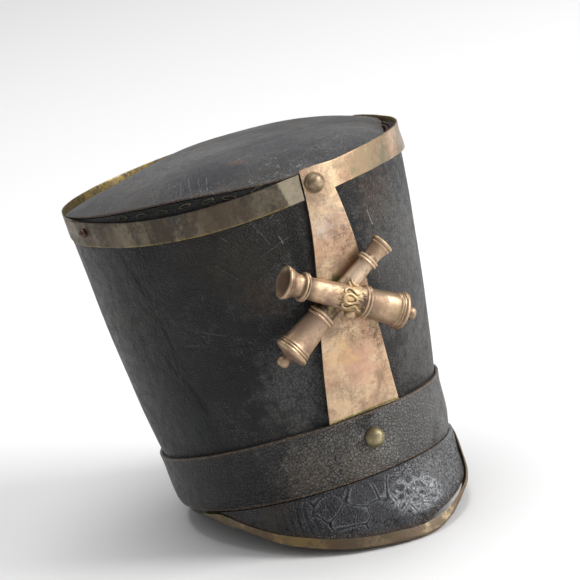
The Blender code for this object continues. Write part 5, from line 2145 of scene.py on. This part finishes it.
@dataclass
class Peak:
    """The crackled leather peak, sewn in behind the strap."""

    thickness: float = 0.0026
    width: float = 0.0403
    half_angle: float = 72.2
    slope_front: float = 58.8
    slope_tip: float = 95.9
    slope_limit: float = 1.6
    edge_power: float = 1.37
    skew: float = 0.0021
    tuck_height: float = 0.0130
    tuck_reach: Pair = (0.90, 0.74)
    tuck_drop: float = 0.0004
    drop: float = 0.0012
    close: float = 0.0008
    min_width: float = 0.0018
    loose_flare: float = 0.0020
    loose_reach: Pair = (0.70, 0.92)
    insert: float = 0.0048
    insert_clearance: float = 0.0018
    flanges: tuple[float, float, float] = (0.0066, 0.0052, 0.0095)
    columns: int = 430
    tuck_rows: int = 8
    slope_rows: int = 76
    broad: Ripple = even_ripple(34.0, 0.0004)
    limit: float = 0.0004
    arc_of_degree: float = 0.0017
    wander: float = 0.0022
    # Plates of the crackle to a metre: broad ones, small ones and pebbles
    fineness: tuple[float, float, float] = (64.0, 165.0, 420.0)

    def shown_width(self, u: float) -> float:
        """Width of the leather that shows, at a place along the peak from -1 to 1."""
        return self.width * max(1.0 - abs(u) ** self.edge_power, 0.0)

    def inserted(self, u: float) -> float:
        """How much leather is still inside the binding.

        Args:
            u: place along the peak, from -1 to 1.

        Returns:
            Metres.
        """
        front, side, tip = self.flanges
        flange = front + (side - front) * fade(abs(u), 0.60, 0.85)
        flange += (tip - side) * fade(abs(u), 0.90, 0.99)
        room = min(self.insert, flange - self.insert_clearance)
        return room * (1.0 - fade(u, -0.15, 0.15)) * fade(abs(u), 1.0, 0.80)

    def surface(self, u: float, down: float) -> tuple[Vector, Vector]:
        """Point and outward normal on the peak's upper side.

        Args:
            u: place along the peak, from -1 to 1.
            down: metres down from the strap.

        Returns:
            The point and the normal.
        """
        angle = math.radians(self.half_angle * u)
        flare = self.loose_flare * fade(u, *self.loose_reach)
        root = CROWN.point(angle, STRAP.low(angle), STRAP.proud(angle, 0.0) + flare)
        root.z -= self.drop
        outward = Vector((math.sin(angle) / CROWN.base_half_width,
                          -math.cos(angle) / CROWN.base_half_length, 0.0)).normalized()
        share = min(u * u, self.slope_limit)
        slope = math.radians(self.slope_front + (self.slope_tip - self.slope_front) * share)
        along = outward * math.cos(slope) - UP * math.sin(slope)
        normal = outward * math.sin(slope) + UP * math.cos(slope)
        root.z += self.close * fade(down, 0.010, 0.0)
        return root + along * down + Vector((self.skew * down / self.width, 0.0, 0.0)), normal

    def crackle(self, u: float, down: float) -> tuple[float, float, float]:
        """Relief of the crackled lacquer at a place.

        Args:
            u: place along the peak, from -1 to 1.
            down: metres down from the strap.

        Returns:
            Metres outwards, how dark it is drawn along the cracks, the ledge and the folds (0 to
            1), and how strong the painted highlight on a lip is (0 to 1).
        """
        arc = u * self.half_angle * self.arc_of_degree
        wander = Vector((noise.noise(Vector((arc * 90, down * 90, 1.0))),
                         noise.noise(Vector((arc * 90, down * 90, 7.0))), 0.0)) * self.wander
        place = Vector((arc, down, 0.0)) + wander
        gaps = []
        for fineness in self.fineness:
            nearest, second = noise.voronoi(place * fineness)[0][:2]
            gaps.append((second - nearest) / fineness)
        big_gap, small_gap, tiny_gap = gaps
        where = fade(noise.noise(Vector((arc * 38, down * 38, 3.0))), -0.45, -0.10)
        where *= fade(u, -0.60, -0.42)
        webbed = fade(bump_at(u, 0.10, 0.14) * bump_at(down, 0.021, 0.012), 0.12, 0.5)
        pebbled = fade(u, 0.12, 0.36)
        shown = self.shown_width(u)
        edges = fade(down, 0.001, 0.004) * fade(down, shown - 0.003, shown - 0.007)
        big_line = bump_at(big_gap, 0.0, 0.00060) * where * (1.0 - 0.8 * pebbled)
        small_line = bump_at(small_gap, 0.0, 0.00030) * webbed
        tiny_line = 0.6 * bump_at(tiny_gap, 0.0, 0.00022) * pebbled
        line = max(big_line, small_line, tiny_line) * edges
        big_lip = bump_at(big_gap, 0.0013, 0.0007) * where * (1.0 - 0.8 * pebbled)
        small_lip = bump_at(small_gap, 0.0008, 0.0007) * webbed
        tiny_lip = 0.25 * bump_at(tiny_gap, 0.0007, 0.0004) * pebbled
        # Painted highlight: the lips are drawn pale, paler at the front middle and towards the
        # strap.
        bright = 0.26 + 0.25 * bump_at(u, 0.0, 0.22) * fade(down, 0.030, 0.016)
        lip = max(big_lip * bright, small_lip, tiny_lip) * edges
        fold = math.sin(arc * 1250.0 + noise.noise(Vector((arc * 60, down * 60, 5.0))) * 2.5)
        folds = max(fold, 0.0) ** 2 * bump_at(u, -0.50, 0.12) * bump_at(down, 0.014, 0.010)
        ledge = bump_at(down, 0.0290, 0.0011) * bump_at(u, -0.46, 0.12)
        push = 0.00036 * max(big_lip, small_lip) * edges - 0.00070 * line
        push -= 0.00050 * folds + 0.00070 * ledge
        return push, max(line, ledge, 0.45 * folds), lip

    def build(self) -> None:
        """Model and dress the peak."""
        inside = 2.0 * GAP + self.thickness
        total = self.tuck_rows + self.slope_rows
        cracks: list[float] = []
        lip_highlights: list[float] = []
        worn: list[float] = []

        def place(along: float, up: float) -> Vector:
            """Point of the peak's upper side, from its free edge (up 0) to under the strap."""
            u = 2.0 * along - 1.0
            row = (1.0 - up) * total
            angle = math.radians(self.half_angle * u)
            edge = STRAP.low(angle) - self.tuck_drop
            tuck = self.tuck_height * fade(abs(u), *self.tuck_reach) + GAP
            half = self.tuck_rows / 2
            crack = lip = brown = 0.0
            if row <= half:
                point = CROWN.point(angle, edge + tuck * (1.0 - row / half), inside)
            elif row <= self.tuck_rows:
                first = CROWN.point(angle, edge, inside)
                point = first.lerp(self.surface(u, 0.0)[0], row / half - 1.0)
            else:
                width = max(self.shown_width(u) + self.inserted(u), self.min_width)
                down = width * (row - self.tuck_rows) / self.slope_rows
                point, normal = self.surface(u, down)
                hidden = fade(down, self.shown_width(u), self.shown_width(u) - 0.002)
                push, crack, lip = self.crackle(u, down)
                free = fade(down, 0.0, 0.004) * max(hidden, fade(u, 0.0, 0.2))
                push = (push + self.broad.at(point)) * free
                point = point + normal * min(push, self.limit)
                crack *= free
                lip *= free
                shown = self.shown_width(u)
                brown = 0.8 * fade(down, shown - 0.0034, shown - 0.0012)
            cracks.append(crack)
            lip_highlights.append(lip)
            worn.append(brown)
            return point

        peak = new_sheet("peak_leather_piece", self.columns, total, place)
        store(peak, "crack", cracks)
        store(peak, "lip", lip_highlights)
        store(peak, "worn", worn)
        apply_wall(peak, self.thickness)
        apply_bevel(peak, 0.0006)
        shade(peak)
        hand_in(peak, "peak_leather", (PEAK_LEATHER, LINING, RAW_EDGE), "peak")


@dataclass
class Studio:
    """A plain pale floor that sweeps up behind, soft light and the camera."""

    half_width: float = 6.0
    front: float = -4.0
    back: float = 5.0
    rise: float = 4.0
    sweep: float = 1.5
    lens: float = 240.5
    camera_place: Point = (-1.0227, -2.3212, 0.4995)
    camera_right: Point = (0.8589, -0.4312, -0.2763)
    camera_up: Point = (0.3133, 0.0154, 0.9495)
    camera_back: Point = (-0.4052, -0.9021, 0.1484)

    def build_floor(self) -> None:
        """Floor and backdrop in one sweep."""
        deselect_all()
        bpy.ops.mesh.primitive_plane_add(size=1.0)
        floor = bpy.context.object
        floor.name = "studio_sweep"
        depth = self.back - self.front
        floor.data.transform(Matrix.Translation((0.0, 0.5 * (self.back + self.front), 0.0))
                             @ Matrix.Diagonal((2.0 * self.half_width, depth, 1.0, 1.0)))
        select_edges(floor, lambda edge: all(vert.co.y > self.back - 0.01
                                             for vert in edge.verts))
        bpy.ops.mesh.extrude_edges_move(TRANSFORM_OT_translate={"value": (0.0, 0.0, self.rise)})
        bpy.ops.object.mode_set(mode="OBJECT")
        apply_bevel(floor, self.sweep, 16, 30.0)
        shade(floor, 60.0)
        material = bpy.data.materials.new("studio_paper")
        material.use_nodes = True
        shader = material.node_tree.nodes["Principled BSDF"]
        shader.inputs["Base Color"].default_value = (0.88, 0.88, 0.88, 1.0)
        shader.inputs["Roughness"].default_value = 0.9
        shader.inputs["Specular IOR Level"].default_value = 0.1
        floor.data.materials.append(material)

    def light(self, name: str, place: Point, size: float, power: float, target: Point) -> None:
        """Hang one square softbox.

        Args:
            name: the light's name.
            place: where it hangs.
            size: metres along a side.
            power: watts.
            target: the place that it is turned to.
        """
        lamp = bpy.data.lights.new(name, "AREA")
        lamp.shape = "SQUARE"
        lamp.size = size
        lamp.energy = power
        box = bpy.data.objects.new(name, lamp)
        bpy.context.scene.collection.objects.link(box)
        box.location = place
        way = Vector(target) - Vector(place)
        box.rotation_euler = way.to_track_quat("-Z", "Y").to_euler()

    def build_lights(self) -> None:
        """Key from the right and above, a low light at the front right, a pale surround."""
        middle = (0.0, 0.0, 0.12)
        self.light("key", (1.9, -1.5, 1.5), 1.2, 60.0, middle)
        self.light("top", (0.2, 0.6, 2.4), 1.6, 38.0, middle)
        self.light("low", (1.6, -2.4, 0.45), 1.2, 17.0, middle)
        world = bpy.data.worlds.new("surround")
        bpy.context.scene.world = world
        world.use_nodes = True
        background = world.node_tree.nodes["Background"]
        background.inputs["Color"].default_value = (1.0, 1.0, 1.0, 1.0)
        background.inputs["Strength"].default_value = 0.33
        bpy.context.scene.view_settings.view_transform = "Standard"

    def build_camera(self) -> None:
        """Camera that sees the hat from the photograph's angle."""
        data = bpy.data.cameras.new("camera")
        data.lens = self.lens
        data.sensor_width = 36.0
        data.clip_end = 30.0
        camera = bpy.data.objects.new("camera", data)
        bpy.context.scene.collection.objects.link(camera)
        turn = axes_matrix(Vector(self.camera_right), Vector(self.camera_up),
                           Vector(self.camera_back))
        camera.matrix_world = REST @ Matrix.Translation(self.camera_place) @ turn
        bpy.context.scene.camera = camera

    def build(self) -> None:
        """Set up the whole studio."""
        self.build_camera()
        self.build_floor()
        self.build_lights()


def main() -> None:
    """Build every piece in order and note the sizes."""
    logging.basicConfig(level=logging.INFO, format="%(name)s: %(message)s")
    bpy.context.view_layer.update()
    Studio().build()
    Crown().build()
    for piece in (
            SheetBrass("band_right", "band_strip_right", "band_brass", BAND_BRASS,
                       marks=(("rim", band_yellowed), ("rubbed", band_rubbed))),
            SheetBrass("band_back", "band_strip_back", "band_brass", BAND_BRASS,
                       bend=rim_bend, marks=(("rim", band_yellowed),)),
            SheetBrass("plate_and_band", "plate_with_band", "plate_brass", PLATE_BRASS,
                       bend=plate_bend, marks=(("rim", band_yellowed),)),
            SheetBrass("peak_binding", "binding_channel", "binding_brass", BINDING_BRASS,
                       levels=2, firmness=0.75, edge_round=0.0, bend=binding_bend)):
        piece.build()
    for rivet in all_rivets():
        rivet.build()
    Badge().build()
    Strap().build()
    Peak().build()


if __name__ == "__main__":
    main()
